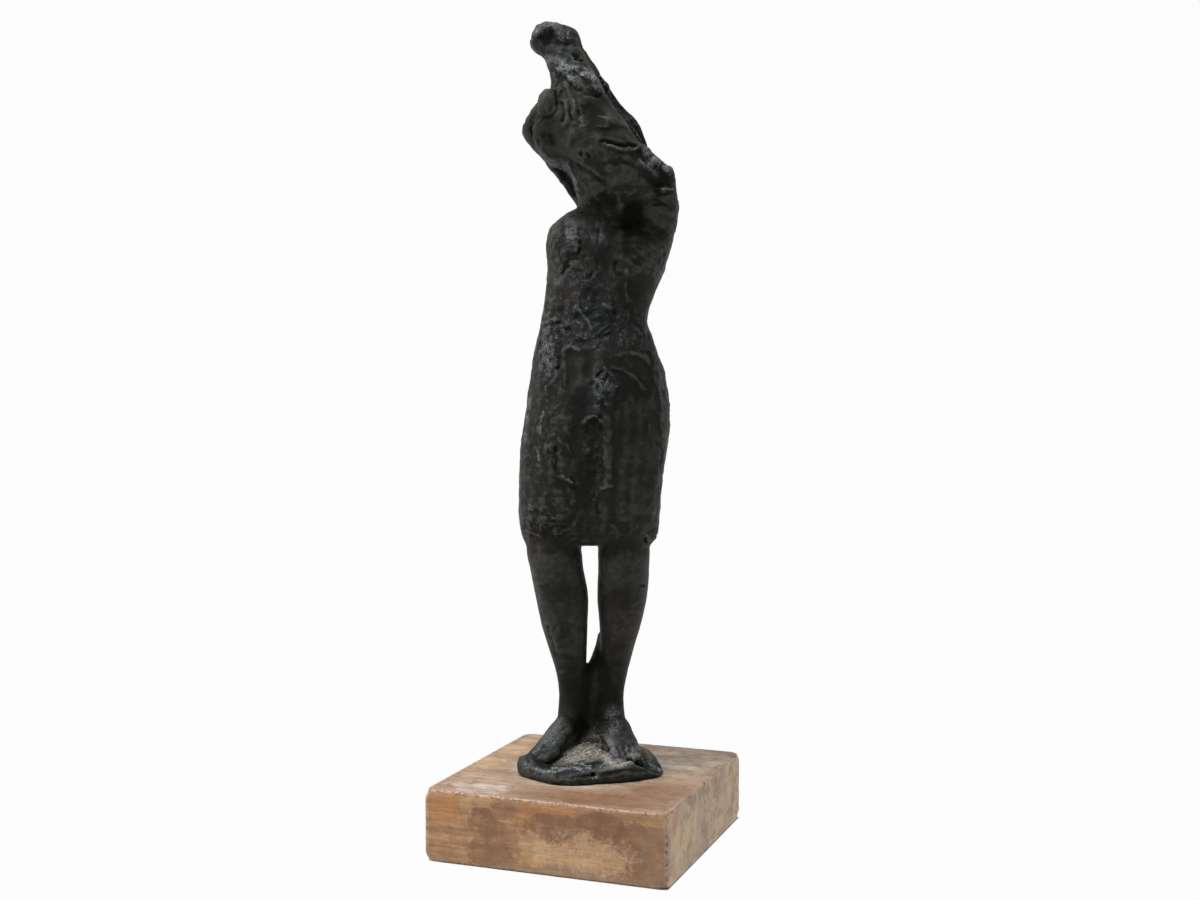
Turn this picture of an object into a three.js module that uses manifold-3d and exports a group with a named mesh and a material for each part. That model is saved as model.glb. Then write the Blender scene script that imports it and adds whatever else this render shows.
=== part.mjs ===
// A small cast bronze of a barefoot woman drawing a cloth over her head, on a square block of wood.
// Millimetres, +Z up. The origin is the middle of the block's underside and the block's front faces -Y.
// The figure is modelled facing -Y, with +X at her left hand, and is turned on the block as a last step.
// All heights are measured from the table that the block stands on.

import * as THREE from 'three';
import { mergeVertices } from 'three/addons/utils/BufferGeometryUtils.js';
import Module from 'manifold-3d';

const wasm = await Module();
wasm.setup();

// Driving dimensions
const BLOCK_SIDE = 120;
const BLOCK_HEIGHT = 34;
const BLOCK_EDGE = 1.4; // worn round edge of the block
const SEAT_GAP = 0.3; // between the plinth's underside and the wood
const FIGURE_TURN = 20.6; // degrees, anticlockwise seen from above
const FIGURE_SHIFT = new THREE.Vector3(-0.65, -0.5, 0);
const PLINTH_FOOT = BLOCK_HEIGHT + SEAT_GAP;
const PLINTH_TOP = 42;

// Dress and chest, from the hem up: her right side, her left side, the front and the back
const TRUNK = [
  { z: 145.5, left: -31.3, right: 31.8, front: -9.5, back: 20.5 },
  { z: 148, left: -32.3, right: 33.5, front: -11.4, back: 22.3 },
  { z: 152, left: -33.1, right: 34.6, front: -13.3, back: 23.7 },
  { z: 160, left: -34.0, right: 35.4, front: -15.8, back: 25.5 },
  { z: 180, left: -33.9, right: 37.0, front: -18, back: 28.5 },
  { z: 198, left: -32.5, right: 39.5, front: -18.5, back: 31.5 },
  { z: 214, left: -30.0, right: 40.0, front: -18.5, back: 31.5 },
  { z: 228, left: -28.1, right: 37.8, front: -17.5, back: 27.5 },
  { z: 244, left: -25.4, right: 32.4, front: -15, back: 21 },
  { z: 255, left: -22.5, right: 28.9, front: -13.5, back: 19 },
  { z: 268, left: -20.8, right: 32.8, front: -13.5, back: 20.5 },
  { z: 282, left: -19.8, right: 38.2, front: -14.5, back: 24 },
  { z: 292, left: -20.4, right: 41.0, front: -14, back: 26.5 },
  { z: 300, left: -19.0, right: 42.0, front: -11.5, back: 27 },
  { z: 306, left: -12.5, right: 40.0, front: -7.5, back: 26 },
  { z: 311, left: -4.0, right: 36.0, front: -2, back: 22 },
];

// Cloth and head together, from the throat to the wrist that holds the cloth up
const VEIL = [
  { z: 298, left: -1.0, right: 17.5, front: -8, back: 20 },
  { z: 306, left: -2.5, right: 19.5, front: -9, back: 20 },
  { z: 313, left: -4.6, right: 28.5, front: -14.5, back: 20 },
  { z: 320, left: -6.8, right: 33.0, front: -18, back: 21 },
  { z: 326.5, left: -10.0, right: 34.5, front: -20.5, back: 22 },
  { z: 331, left: -19.5, right: 34.0, front: -21.5, back: 22.5 },
  { z: 341, left: -26.0, right: 24.5, front: -21.5, back: 22.5 },
  { z: 350, left: -26.0, right: 19.0, front: -20, back: 21 },
  { z: 359, left: -20.8, right: 12.0, front: -17, back: 18.5 },
  { z: 368, left: -17.8, right: 6.5, front: -12.5, back: 15 },
  { z: 377, left: -19.2, right: 1.8, front: -8.5, back: 12.5 },
  { z: 386, left: -24.0, right: -3.0, front: -5.5, back: 11 },
];

// Bare legs from inside the foot to inside the dress
const RIGHT_LEG = [
  { z: 47, left: -15.0, right: -3.0, front: 7, back: 25 },
  { z: 57, left: -15.4, right: -2.0, front: 7, back: 24 },
  { z: 68, left: -14.6, right: -1.4, front: 8.5, back: 22.5 },
  { z: 80, left: -16.2, right: -0.9, front: 7.5, back: 22.5 },
  { z: 92, left: -19.8, right: -0.6, front: 4, back: 23 },
  { z: 106, left: -23.7, right: -0.1, front: 0, back: 23.5 },
  { z: 120, left: -26.4, right: 0.1, front: -3, back: 22 },
  { z: 134, left: -28.8, right: -2.3, front: -8.3, back: 18.5 },
  { z: 143, left: -30.6, right: -3.0, front: -9.6, back: 18 },
  { z: 152, left: -29.0, right: -4.0, front: -9, back: 17 },
];
const LEFT_LEG = [
  { z: 47, left: 5.0, right: 18.5, front: 9, back: 28 },
  { z: 57, left: 5.0, right: 18.4, front: 9, back: 27 },
  { z: 68, left: 4.8, right: 17.8, front: 11, back: 25.5 },
  { z: 80, left: 5.2, right: 20.1, front: 10, back: 25.5 },
  { z: 92, left: 5.8, right: 23.1, front: 7, back: 26 },
  { z: 106, left: 5.4, right: 27.0, front: 2.5, back: 26 },
  { z: 118, left: 4.4, right: 29.4, front: -1, back: 24.5 },
  { z: 134, left: 4.9, right: 30.3, front: -8, back: 20 },
  { z: 143, left: 4.7, right: 30.6, front: -9.2, back: 19.3 },
  { z: 152, left: 5.0, right: 29.0, front: -8.6, back: 18 },
];

// Web of metal that joins the ankles to the plinth and runs up behind her left calf
const WEB = [
  { z: 38, left: -15, right: 17, front: 8.5, back: 31 },
  { z: 48, left: -10, right: 13, front: 9.6, back: 28 },
  { z: 62, left: -8, right: 12, front: 9.8, back: 26 },
  { z: 76, left: -4.6, right: 12, front: 10.8, back: 25 },
  { z: 84, left: 0.3, right: 11, front: 12.5, back: 25 },
  { z: 92, left: 3.5, right: 10.5, front: 17, back: 25.5 },
  { z: 99, left: 4.8, right: 9.5, front: 19.5, back: 24.5 },
];

// Feet: ankle, toe direction outward from straight ahead in degrees, and length ahead of the ankle
const RIGHT_FOOT = { ankle: [-8.4, 15.5], outward: -34, reach: 30, outer: -1 };
const LEFT_FOOT = { ankle: [12, 18.5], outward: 19, reach: 28.5, outer: 1 };

// Outline of the plinth on the wood, and the height of its rim, all the way round
const PLINTH = [
  { x: -34.8, y: -3, rim: 42.5 },
  { x: -31.8, y: -13, rim: 42.5 },
  { x: -25, y: -21, rim: 39.5 },
  { x: -12, y: -29.7, rim: 40 },
  { x: 6.6, y: -26.7, rim: 41 },
  { x: 24.5, y: -20.8, rim: 41.5 },
  { x: 36.2, y: -11.4, rim: 35.7 },
  { x: 33.5, y: 4, rim: 42 },
  { x: 27, y: 20, rim: 42 },
  { x: 10, y: 33, rim: 41 },
  { x: -9, y: 33, rim: 41 },
  { x: -23, y: 22, rim: 40 },
  { x: -31, y: 8, rim: 39.5 },
];

const bronze = new THREE.MeshStandardMaterial({ color: 0x23241f, roughness: 0.5, metalness: 0.8 });
const wood = new THREE.MeshStandardMaterial({ color: 0x8a6f5a, roughness: 0.75, metalness: 0 });

// Smooth curve through a list of stations that are placed by one of their own values
function through(stations, place) {
  const names = Object.keys(stations[0]).filter((name) => name !== place);
  const places = stations.map((station) => station[place]);
  const values = stations.flatMap((station) => names.map((name) => station[name]));
  const curve = new THREE.CubicInterpolant(places, values, names.length);
  return (at) => {
    const result = curve.evaluate(THREE.MathUtils.clamp(at, places[0], places.at(-1)));
    return Object.fromEntries(names.map((name, index) => [name, result[index]]));
  };
}

// A geometry with shared vertices, each moved by a function of its first place
function moulded(geometry, move) {
  geometry.deleteAttribute('normal');
  geometry.deleteAttribute('uv');
  const merged = mergeVertices(geometry, 1e-5);
  const position = merged.attributes.position;
  const point = new THREE.Vector3();
  for (let index = 0; index < position.count; index += 1) {
    point.fromBufferAttribute(position, index);
    move(point);
    position.setXYZ(index, point.x, point.y, point.z);
  }
  return merged;
}

function solidOf(geometry) {
  const vertProperties = new Float32Array(geometry.attributes.position.array);
  const triVerts = new Uint32Array(geometry.index.array);
  return new wasm.Manifold(new wasm.Mesh({ numProp: 3, vertProperties, triVerts }));
}

function geometryOf(solid) {
  const mesh = solid.getMesh();
  const geometry = new THREE.BufferGeometry();
  geometry.setAttribute('position', new THREE.BufferAttribute(mesh.vertProperties, 3));
  geometry.setIndex(new THREE.BufferAttribute(mesh.triVerts, 1));
  return geometry;
}

function joined(solids) {
  return solids.reduce((whole, solid) => whole.add(solid));
}

// A point of the unit circle pushed towards a rounded square
function fuller(share, fullness) {
  return Math.sign(share) * Math.abs(share) ** (2 / fullness);
}

// A standing form: level sections follow the stations, and relief raises or sinks the skin
function column(stations, { sides, rows, fullness = 2.2, relief = [] }) {
  const section = through(stations, 'z');
  const low = stations[0].z;
  const high = stations.at(-1).z;
  const geometry = new THREE.CylinderGeometry(1, 1, 1, sides, rows);
  return solidOf(moulded(geometry, (point) => {
    const z = THREE.MathUtils.lerp(low, high, point.y + 0.5);
    const { left, right, front, back } = section(z);
    const across = point.x;
    const away = -point.z;
    const halfWidth = (right - left) / 2;
    const halfDepth = (back - front) / 2;
    const middle = new THREE.Vector3(left + halfWidth, front + halfDepth, z);
    const skin = new THREE.Vector3(
      halfWidth * fuller(across, fullness),
      halfDepth * fuller(away, fullness),
      0,
    );
    point.copy(middle).add(skin);
    const rise = relief.reduce((sum, mark) => sum + mark(point, away), 0);
    point.addScaledVector(skin.normalize(), rise);
  }));
}

// A rounded tube along a path of stations: r is its half width, h its half height where that differs,
// and tip is the length of its round ends over their half width
function limb(stations, { sides = 12, rows = 8, tip = 1, across = new THREE.Vector3(1, 0, 0) } = {}) {
  const path = new THREE.CatmullRomCurve3(stations.map(({ x, y, z }) => new THREE.Vector3(x, y, z)));
  const section = through(stations.map(({ r, h = r }, index) => ({ index, r, h })), 'index');
  const geometry = new THREE.CapsuleGeometry(1, 1, 3, sides, rows);
  const tangent = new THREE.Vector3();
  const wide = new THREE.Vector3();
  const thick = new THREE.Vector3();
  return solidOf(moulded(geometry, (point) => {
    const share = THREE.MathUtils.clamp(point.y + 0.5, 0, 1);
    const beyond = point.y + 0.5 - share;
    const { r, h } = section(share * (stations.length - 1));
    path.getTangent(share, tangent);
    thick.crossVectors(across, tangent).normalize();
    wide.crossVectors(tangent, thick);
    const { x, z } = point;
    path.getPoint(share, point);
    point.addScaledVector(wide, x * r);
    point.addScaledVector(thick, z * h);
    point.addScaledVector(tangent, beyond * r * tip);
  }));
}

// An egg with its own half axes, leaned sideways in degrees
function egg({ at, half, lean = 0, sides = 12, rows = 8 }) {
  const turn = new THREE.Matrix4().makeRotationY(THREE.MathUtils.degToRad(lean));
  return solidOf(moulded(new THREE.SphereGeometry(1, sides, rows), (point) => {
    point.set(point.x * half[0], -point.z * half[1], point.y * half[2]);
    point.applyMatrix4(turn).add(new THREE.Vector3(...at));
  }));
}

// Relief seen from the front or the back: a ridge (height over 0) or furrow between two places.
// A place is its distance across and its height above the table.
function stroke(from, to, width, height, side = 'front') {
  const line = new THREE.Line3(
    new THREE.Vector3(from[0], 0, from[1]),
    new THREE.Vector3(to[0], 0, to[1]),
  );
  const seen = new THREE.Vector3();
  const nearest = new THREE.Vector3();
  const sign = side === 'front' ? -1 : 1;
  return (point, away) => {
    const facing = THREE.MathUtils.smoothstep(sign * away, 0, 0.5);
    seen.set(point.x, 0, point.z);
    line.closestPointToPoint(seen, true, nearest);
    const reach = seen.distanceTo(nearest) / width;
    return height * facing * Math.exp(-reach * reach);
  };
}

const trunkRelief = [
  // Breasts, the hollow between them, and the belly
  stroke([-8, 290], [-8, 288], 9, 4.5),
  stroke([25, 285], [25, 283], 9, 4.5),
  stroke([9, 296], [8, 276], 6, -2),
  stroke([3, 232], [3, 226], 14, 2),
  // The deep hollow under her raised left arm
  stroke([19, 304], [28, 299], 6, -7),
  // Thighs under the dress, the furrow between them, and the creases at her left hip
  stroke([-17, 205], [-15, 160], 8, 1.5),
  stroke([20, 210], [19, 165], 9, 2),
  stroke([-2, 214], [4, 150], 5.5, -3),
  stroke([25, 243], [35, 226], 4, -1.5),
  stroke([10, 234], [27, 222], 4, -1.2),
  // Buttocks, the spine and the shoulder blades
  stroke([-14, 207], [-14, 203], 11, 5, 'back'),
  stroke([20, 208], [20, 204], 11, 5, 'back'),
  stroke([3, 214], [4, 196], 4, -3, 'back'),
  stroke([3, 190], [4, 152], 8, -2, 'back'),
  stroke([4, 298], [4, 236], 5, -2.5, 'back'),
  stroke([-8, 296], [-5, 284], 6, 2.5, 'back'),
  stroke([25, 296], [22, 284], 6, 2.5, 'back'),
];

const veilRelief = [
  // Folds that fan out from the hand that holds the cloth up
  stroke([-14, 370], [-17, 345], 1.8, -1.6),
  stroke([-11, 372], [-10, 346], 1.8, -1.4),
  stroke([-7, 366], [-3, 342], 2, -1.2),
  stroke([-2, 368], [16, 352], 2.5, -2.2),
  stroke([3, 355], [5, 350], 5, -1.5),
  // The deep level fold over the brow, its lower lip, and the head under the cloth
  stroke([6, 342.5], [22, 341.5], 2.2, -3),
  stroke([4, 339], [22, 338], 2.5, 2.4),
  stroke([6, 328], [22, 324], 8, 2),
  stroke([1, 332], [8, 322], 2, -1.2),
  stroke([8, 309], [3, 307], 4, -4),
  // The bunched cloth at her left elbow
  stroke([23, 333], [32, 324], 3, -1.5),
  // Two long folds down the back of the head
  stroke([-10, 360], [-6, 330], 3, -1.5, 'back'),
  stroke([4, 352], [8, 322], 3.5, -1.8, 'back'),
];

function makeShoulders() {
  return [
    // Neck, and the yoke of muscle from one raised shoulder to the other
    limb([
      { x: 9, y: 10, z: 298, r: 13 },
      { x: 8, y: 6, z: 322, r: 12 },
    ], { rows: 3 }),
    limb([
      { x: -8, y: 14, z: 294, r: 8.5 },
      { x: 1, y: 14, z: 301, r: 9.5 },
      { x: 12, y: 15, z: 305, r: 9 },
      { x: 24, y: 13, z: 304, r: 10.5 },
      { x: 31, y: 10, z: 299, r: 10.5 },
    ], { rows: 8, across: new THREE.Vector3(0, 1, 0) }),
  ];
}

function makeArms() {
  return [
    // Her right upper arm rises to the elbow, and the forearm comes forward to the fist at the cloth
    limb([
      { x: 9, y: 14, z: 302.4, r: 7 },
      { x: -7.5, y: 12, z: 327, r: 7.4 },
      { x: -25, y: 9, z: 348, r: 7.6 },
    ], { rows: 6 }),
    limb([
      { x: -25, y: 9, z: 349, r: 7 },
      { x: -21.5, y: 0, z: 354.5, r: 6 },
      { x: -19, y: -7, z: 357, r: 4.8 },
    ], { rows: 4 }),
    egg({ at: [-18.6, -9.5, 357], half: [5.2, 5.6, 8.2], lean: 12 }),
    // Her left upper arm, short and steep, and the forearm that crosses behind the cloth to the top hand
    limb([
      { x: 28, y: 8, z: 277, r: 6.5 },
      { x: 31.6, y: 6, z: 292, r: 9.2 },
      { x: 33.4, y: 1, z: 308, r: 10.9 },
      { x: 34.6, y: 0, z: 321.5, r: 8 },
    ], { sides: 14, rows: 7 }),
    egg({ at: [26.5, -5, 315.5], half: [9, 7, 5], lean: -10 }),
    limb([
      { x: 33.6, y: 0, z: 323.5, r: 7.2 },
      { x: 24.6, y: 6, z: 336, r: 5.8 },
      { x: 19.4, y: 8, z: 345.5, r: 7.7 },
      { x: 12, y: 9, z: 355, r: 6.8 },
      { x: 3, y: 9, z: 367, r: 7 },
      { x: -8.8, y: 5, z: 385, r: 6.8 },
    ], { sides: 14, rows: 10 }),
  ];
}

// The bunched edge of the cloth that slants down to her left elbow
function makeLedge() {
  return limb([
    { x: 14.5, y: -10, z: 342, r: 3.4, h: 7 },
    { x: 20.5, y: -8.8, z: 337, r: 3.8, h: 8 },
    { x: 26, y: -7, z: 331.8, r: 4.2, h: 9 },
    { x: 31.8, y: -3.4, z: 327.3, r: 4.6, h: 9 },
    { x: 36.8, y: 0, z: 323, r: 4.4, h: 6.5 },
  ], { sides: 12, rows: 5 });
}

// The hand at the top, bent over the cloth with its hollow palm to the front
function makeTopHand() {
  const palm = egg({ at: [-20.3, -7.5, 389], half: [6.2, 6, 7], lean: 18, sides: 10, rows: 6 });
  const hand = joined([
    egg({ at: [-18.4, 3.5, 390.3], half: [10.3, 9.2, 8.6], sides: 14, rows: 9 }),
    egg({ at: [-10.6, 5.5, 391], half: [7.3, 8, 6.6], lean: 20 }),
  ]);
  return hand.subtract(palm);
}

function makeFoot({ ankle, outward, reach, outer }) {
  const ahead = THREE.MathUtils.degToRad(outward);
  // Places along the foot from the ankle, out from its middle line, and up from the plinth
  const place = (along, aside, up) => ({
    x: ankle[0] + along * Math.sin(ahead) + outer * aside * Math.cos(ahead),
    y: ankle[1] - along * Math.cos(ahead) + outer * aside * Math.sin(ahead),
    z: PLINTH_TOP + up,
  });
  const across = new THREE.Vector3(Math.cos(ahead), Math.sin(ahead), 0);
  const instep = limb([
    { ...place(-4, 0, 4), r: 6, h: 6 },
    { ...place(3, 0.4, 8), r: 7.4, h: 9 },
    { ...place(reach * 0.42, 0.6, 4.6), r: 7.5, h: 7 },
    { ...place(reach * 0.76, 0, 1.2), r: 7.5, h: 3.8 },
  ], { rows: 7, tip: 0.55, across });
  const toes = Array.from({ length: 5 }, (unused, index) => {
    const aside = -6 + index * 3.1;
    const shorter = index * index * 0.34;
    const size = index === 0 ? 2.5 : 2 - index * 0.1;
    return limb([
      { ...place(reach * 0.72, aside, 2), r: size },
      { ...place(reach - shorter, aside * 1.1, 0.5), r: size },
    ], { sides: 6, rows: 1, across });
  });
  return [instep, ...toes];
}

// The rings of the plinth's side, from the wood up: how far each is drawn in, and its height
// for a given rim
const PLINTH_RINGS = [
  { inward: 1, level: () => PLINTH_FOOT },
  { inward: 1.01, level: (rim) => (PLINTH_FOOT + rim) / 2 },
  { inward: 0.97, level: (rim) => rim - 1 },
  { inward: 0.86, level: (rim) => rim },
];
const MOUND = new THREE.Vector3(0, 10, PLINTH_TOP + 2.5); // highest place, between the heels

function makePlinth() {
  const outline = PLINTH.map(({ x, y, rim }) => new THREE.Vector3(x, y, rim));
  const loop = new THREE.CatmullRomCurve3(outline, true);
  const sides = 39;
  const geometry = new THREE.CylinderGeometry(1, 1, 1, sides, PLINTH_RINGS.length - 1);
  return solidOf(moulded(geometry, (point) => {
    const { inward, level } = PLINTH_RINGS[Math.round((point.y + 0.5) * (PLINTH_RINGS.length - 1))];
    const turn = Math.atan2(point.z, -point.x) / (2 * Math.PI);
    const centre = Math.hypot(point.x, point.z) < 0.5;
    const top = point.y > 0;
    loop.getPoint(THREE.MathUtils.euclideanModulo(turn, 1), point);
    point.set(point.x * inward, point.y * inward, level(point.z));
    if (centre) point.copy(MOUND);
    if (centre && !top) point.setZ(PLINTH_FOOT);
  }));
}

function makeFigure() {
  const cast = joined([
    column(TRUNK, { sides: 36, rows: 36, fullness: 2.35, relief: trunkRelief }),
    column(VEIL, { sides: 30, rows: 25, fullness: 2.2, relief: veilRelief }),
    column(RIGHT_LEG, { sides: 16, rows: 18 }),
    column(LEFT_LEG, { sides: 16, rows: 18 }),
    column(WEB, { sides: 12, rows: 9 }),
    ...makeShoulders(),
    ...makeArms(),
    makeLedge(),
    makeTopHand(),
    ...makeFoot(RIGHT_FOOT),
    ...makeFoot(LEFT_FOOT),
    makePlinth(),
  ]);
  const figure = new THREE.Mesh(geometryOf(cast), bronze);
  figure.name = 'figure';
  figure.position.copy(FIGURE_SHIFT);
  figure.rotation.z = THREE.MathUtils.degToRad(FIGURE_TURN);
  return figure;
}

function makeBlock() {
  const half = BLOCK_SIDE / 2 - BLOCK_EDGE;
  const outline = new THREE.Shape([
    new THREE.Vector2(-half, -half),
    new THREE.Vector2(half, -half),
    new THREE.Vector2(half, half),
    new THREE.Vector2(-half, half),
  ]);
  const geometry = new THREE.ExtrudeGeometry(outline, {
    depth: BLOCK_HEIGHT - 2 * BLOCK_EDGE,
    bevelSize: BLOCK_EDGE,
    bevelThickness: BLOCK_EDGE,
    bevelSegments: 2,
  });
  geometry.translate(0, 0, BLOCK_EDGE);
  const block = new THREE.Mesh(geometry, wood);
  block.name = 'wooden_block';
  return block;
}

const group = new THREE.Group();
group.add(makeFigure(), makeBlock());

export default group;
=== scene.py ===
"""Dresses a packed cast bronze figure and the wooden block that it stands on.

The figure's solid is remeshed finely, its facets are smoothed away, and the marks of the hand that
modelled it are cut and laid on: folds, cracks, pellets of clay, lips and hollows. Places on the figure
are in millimetres in its own frame: across from its middle line, and up from the table.
"""

import logging
import math
from dataclasses import dataclass
from enum import Enum
from functools import reduce

import bmesh
import bpy
import numpy as np
from mathutils import Matrix, Vector, noise


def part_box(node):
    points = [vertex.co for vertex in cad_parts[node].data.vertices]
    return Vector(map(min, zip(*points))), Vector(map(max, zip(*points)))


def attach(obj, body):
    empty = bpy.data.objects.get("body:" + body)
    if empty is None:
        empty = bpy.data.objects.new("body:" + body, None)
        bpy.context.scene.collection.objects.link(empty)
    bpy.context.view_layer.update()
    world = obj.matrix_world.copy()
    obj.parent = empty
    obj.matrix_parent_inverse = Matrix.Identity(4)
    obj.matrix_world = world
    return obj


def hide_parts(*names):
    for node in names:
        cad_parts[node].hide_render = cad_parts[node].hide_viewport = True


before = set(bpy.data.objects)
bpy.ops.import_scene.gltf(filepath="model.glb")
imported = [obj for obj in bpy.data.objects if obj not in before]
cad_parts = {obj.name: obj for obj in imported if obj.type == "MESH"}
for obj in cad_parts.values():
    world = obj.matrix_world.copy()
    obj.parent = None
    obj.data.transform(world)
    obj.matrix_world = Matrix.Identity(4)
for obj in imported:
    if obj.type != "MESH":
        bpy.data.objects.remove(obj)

log = logging.getLogger("bronze_figure")
logging.basicConfig(level=logging.INFO, format="%(name)s: %(message)s")

MM = 0.001
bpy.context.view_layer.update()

Place = tuple[float, float]
Spot = tuple[float, float, float]
Colour = tuple[float, float, float, float]
# The value that counts as none and the value that counts as full
Band = tuple[float, float]
# A band, and what its two ends become
Ramp = tuple[float, float, float, float]


def colour(red: float, green: float, blue: float) -> Colour:
    """Gives a linear colour with full opacity."""
    return (red, green, blue, 1.0)


def grey(level: float) -> Colour:
    """Gives a linear grey with full opacity."""
    return colour(level, level, level)


def smoothstep(low: float, high: float, values: np.ndarray) -> np.ndarray:
    """Eases values from 0 at low to 1 at high.

    Args:
        low: The value that gives 0.
        high: The value that gives 1. It may be under low.
        values: The values to ease.

    Returns:
        Eased values, from 0 to 1.
    """
    share = np.clip((values - low) / (high - low), 0.0, 1.0)
    return share * share * (3.0 - 2.0 * share)


def hill_noise(points: np.ndarray, size: float, shift: float = 0.0) -> np.ndarray:
    """Gives smooth random hills and hollows, from about -1 to 1.

    Args:
        points: The places, in millimetres.
        size: The width of one hill, in millimetres.
        shift: How far the pattern is slid, which gives another pattern.

    Returns:
        One value for each place.
    """
    scaled = points / size + shift
    return np.array([noise.noise(place) for place in scaled.tolist()])


def gap_to_line(places: np.ndarray, start: Place, end: Place) -> np.ndarray:
    """Gives how far places are from the straight line between two of them.

    Args:
        places: Across and height, one row for each place.
        start: Where the line starts.
        end: Where it ends.

    Returns:
        One distance for each place.
    """
    along = np.array(end) - np.array(start)
    offset = places - np.array(start)
    share = np.clip(offset @ along / (along @ along), 0.0, 1.0)
    return np.linalg.norm(offset - share[:, None] * along, axis=1)


# Where things stand, and the marks on the figure


@dataclass(frozen=True)
class Stand:
    """Where the figure stands on the block, in millimetres and degrees."""

    shift: Spot = (-0.65, -0.5, 0.0)
    turn: float = 20.6

    def matrix(self) -> np.ndarray:
        """Gives the turn from the figure's frame to the block's, as a 3 by 3 matrix."""
        return np.array(Matrix.Rotation(math.radians(self.turn), 3, "Z"))

    def to_figure(self, points: np.ndarray) -> np.ndarray:
        """Turns places in metres on the block into millimetres in the figure's frame."""
        return (points / MM - np.array(self.shift)) @ self.matrix()

    def to_block(self, points: np.ndarray) -> np.ndarray:
        """Turns millimetres in the figure's frame into metres on the block."""
        return (points @ self.matrix().T + np.array(self.shift)) * MM


@dataclass(frozen=True)
class Sight:
    """A place to look at the figure from, and the upright plane that its places are read on.

    What is in front is found in square cells of the plane, as a layer of some thickness. The stray
    pairs are the size and the reach of an unsteady hand's waves.
    """

    eye: Spot
    plane: float = 5.0
    cell: float = 1.0
    layer: float = 4.0
    stray: tuple[Place, ...] = ((4.5, 0.9), (1.8, 0.4))
    stray_shifts: Place = (11.0, 18.0)

    def seen(self, points: np.ndarray) -> np.ndarray:
        """Gives where each point is seen on the plane.

        Args:
            points: Places in the figure's frame, in millimetres.

        Returns:
            Across and height on the plane, one row for each point.
        """
        eye = np.array(self.eye)
        reach = (self.plane - eye[1]) / (points[:, 1] - eye[1])
        on_plane = eye + (points - eye) * reach[:, None]
        return on_plane[:, [0, 2]]

    def strayed(self, points: np.ndarray) -> np.ndarray:
        """Gives where each point is seen, shaken by an unsteady hand.

        Args:
            points: Places in the figure's frame, in millimetres.

        Returns:
            Across and height on the plane, one row for each point.
        """
        seen = self.seen(points)
        for axis, shift in enumerate(self.stray_shifts):
            for size, reach in self.stray:
                seen[:, axis] += reach * hill_noise(points, size, shift)
        return seen

    def facing(
        self, points: np.ndarray, normals: np.ndarray, low: float = 0.05, high: float = 0.45
    ) -> np.ndarray:
        """Gives how squarely each point faces the eye, and 0 where something stands before it.

        Args:
            points: Places in the figure's frame, in millimetres.
            normals: The direction that the surface faces at each place.
            low: The squareness that counts as none.
            high: The squareness that counts as full.

        Returns:
            A share from 0 to 1 for each point.
        """
        towards = np.array(self.eye) - points
        distance = np.linalg.norm(towards, axis=1)
        square = np.einsum("ij,ij->i", normals, towards) / distance
        cells = np.floor(self.seen(points) / self.cell).astype(int)
        cells -= cells.min(axis=0) - 1
        nearest = np.full(cells.max(axis=0) + 2, np.inf)
        np.minimum.at(nearest, (cells[:, 0], cells[:, 1]), distance)
        front = distance < nearest[cells[:, 0], cells[:, 1]] + self.layer
        return smoothstep(low, high, square) * front


@dataclass(frozen=True)
class Mark:
    """A ridge (rise over 0) or furrow along a path of places.

    Its left side, as one goes along the path, falls away over its width, and its right side over
    steep times its width, so a small steep gives a lip or the edge of a slab.
    """

    path: tuple[Place, ...]
    width: float
    rise: float
    steep: float = 1.0

    def height(self, seen: np.ndarray) -> np.ndarray:
        """Gives how far the mark lifts the surface.

        Args:
            seen: Across and height of each seen place.

        Returns:
            The rise at each place, in millimetres.
        """
        best = np.full(len(seen), np.inf)
        side = np.ones(len(seen))
        for start, end in zip(self.path, self.path[1:]):
            gap = gap_to_line(seen, start, end)
            closer = gap < best
            best[closer] = gap[closer]
            along = np.array(end) - np.array(start)
            offset = seen[closer] - np.array(start)
            side[closer] = np.sign(along[0] * offset[:, 1] - along[1] * offset[:, 0])
        width = self.width * np.where(side < 0.0, self.steep, 1.0)
        return self.rise * np.exp(-((best / width) ** 2))


@dataclass(frozen=True)
class Patch:
    """A leaning oval or rounded rectangle of the surface, with an amount that it adds."""

    centre: Place
    half: Place
    amount: float
    lean: float = 0.0
    corner: float = 2.0
    edge: float = 0.5

    def height(self, seen: np.ndarray) -> np.ndarray:
        """Gives what the patch adds.

        Args:
            seen: Across and height of each seen place.

        Returns:
            The amount at each place.
        """
        turn = math.radians(self.lean)
        offset = seen - np.array(self.centre)
        across = offset[:, 0] * math.cos(turn) + offset[:, 1] * math.sin(turn)
        upward = offset[:, 1] * math.cos(turn) - offset[:, 0] * math.sin(turn)
        spread = np.abs(across / self.half[0]) ** self.corner + np.abs(upward / self.half[1]) ** self.corner
        reach = spread ** (1.0 / self.corner)
        return self.amount * smoothstep(1.0 + self.edge, 1.0 - self.edge, reach)


def total(marks: tuple, seen: np.ndarray) -> np.ndarray:
    """Adds up what marks or patches do at each seen place."""
    return sum((mark.height(seen) for mark in marks), np.zeros(len(seen)))


FRONT = Sight(eye=(6.3, -730.6, 226.4))
BACK = Sight(eye=(0.0, 900.0, 220.0))

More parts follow.
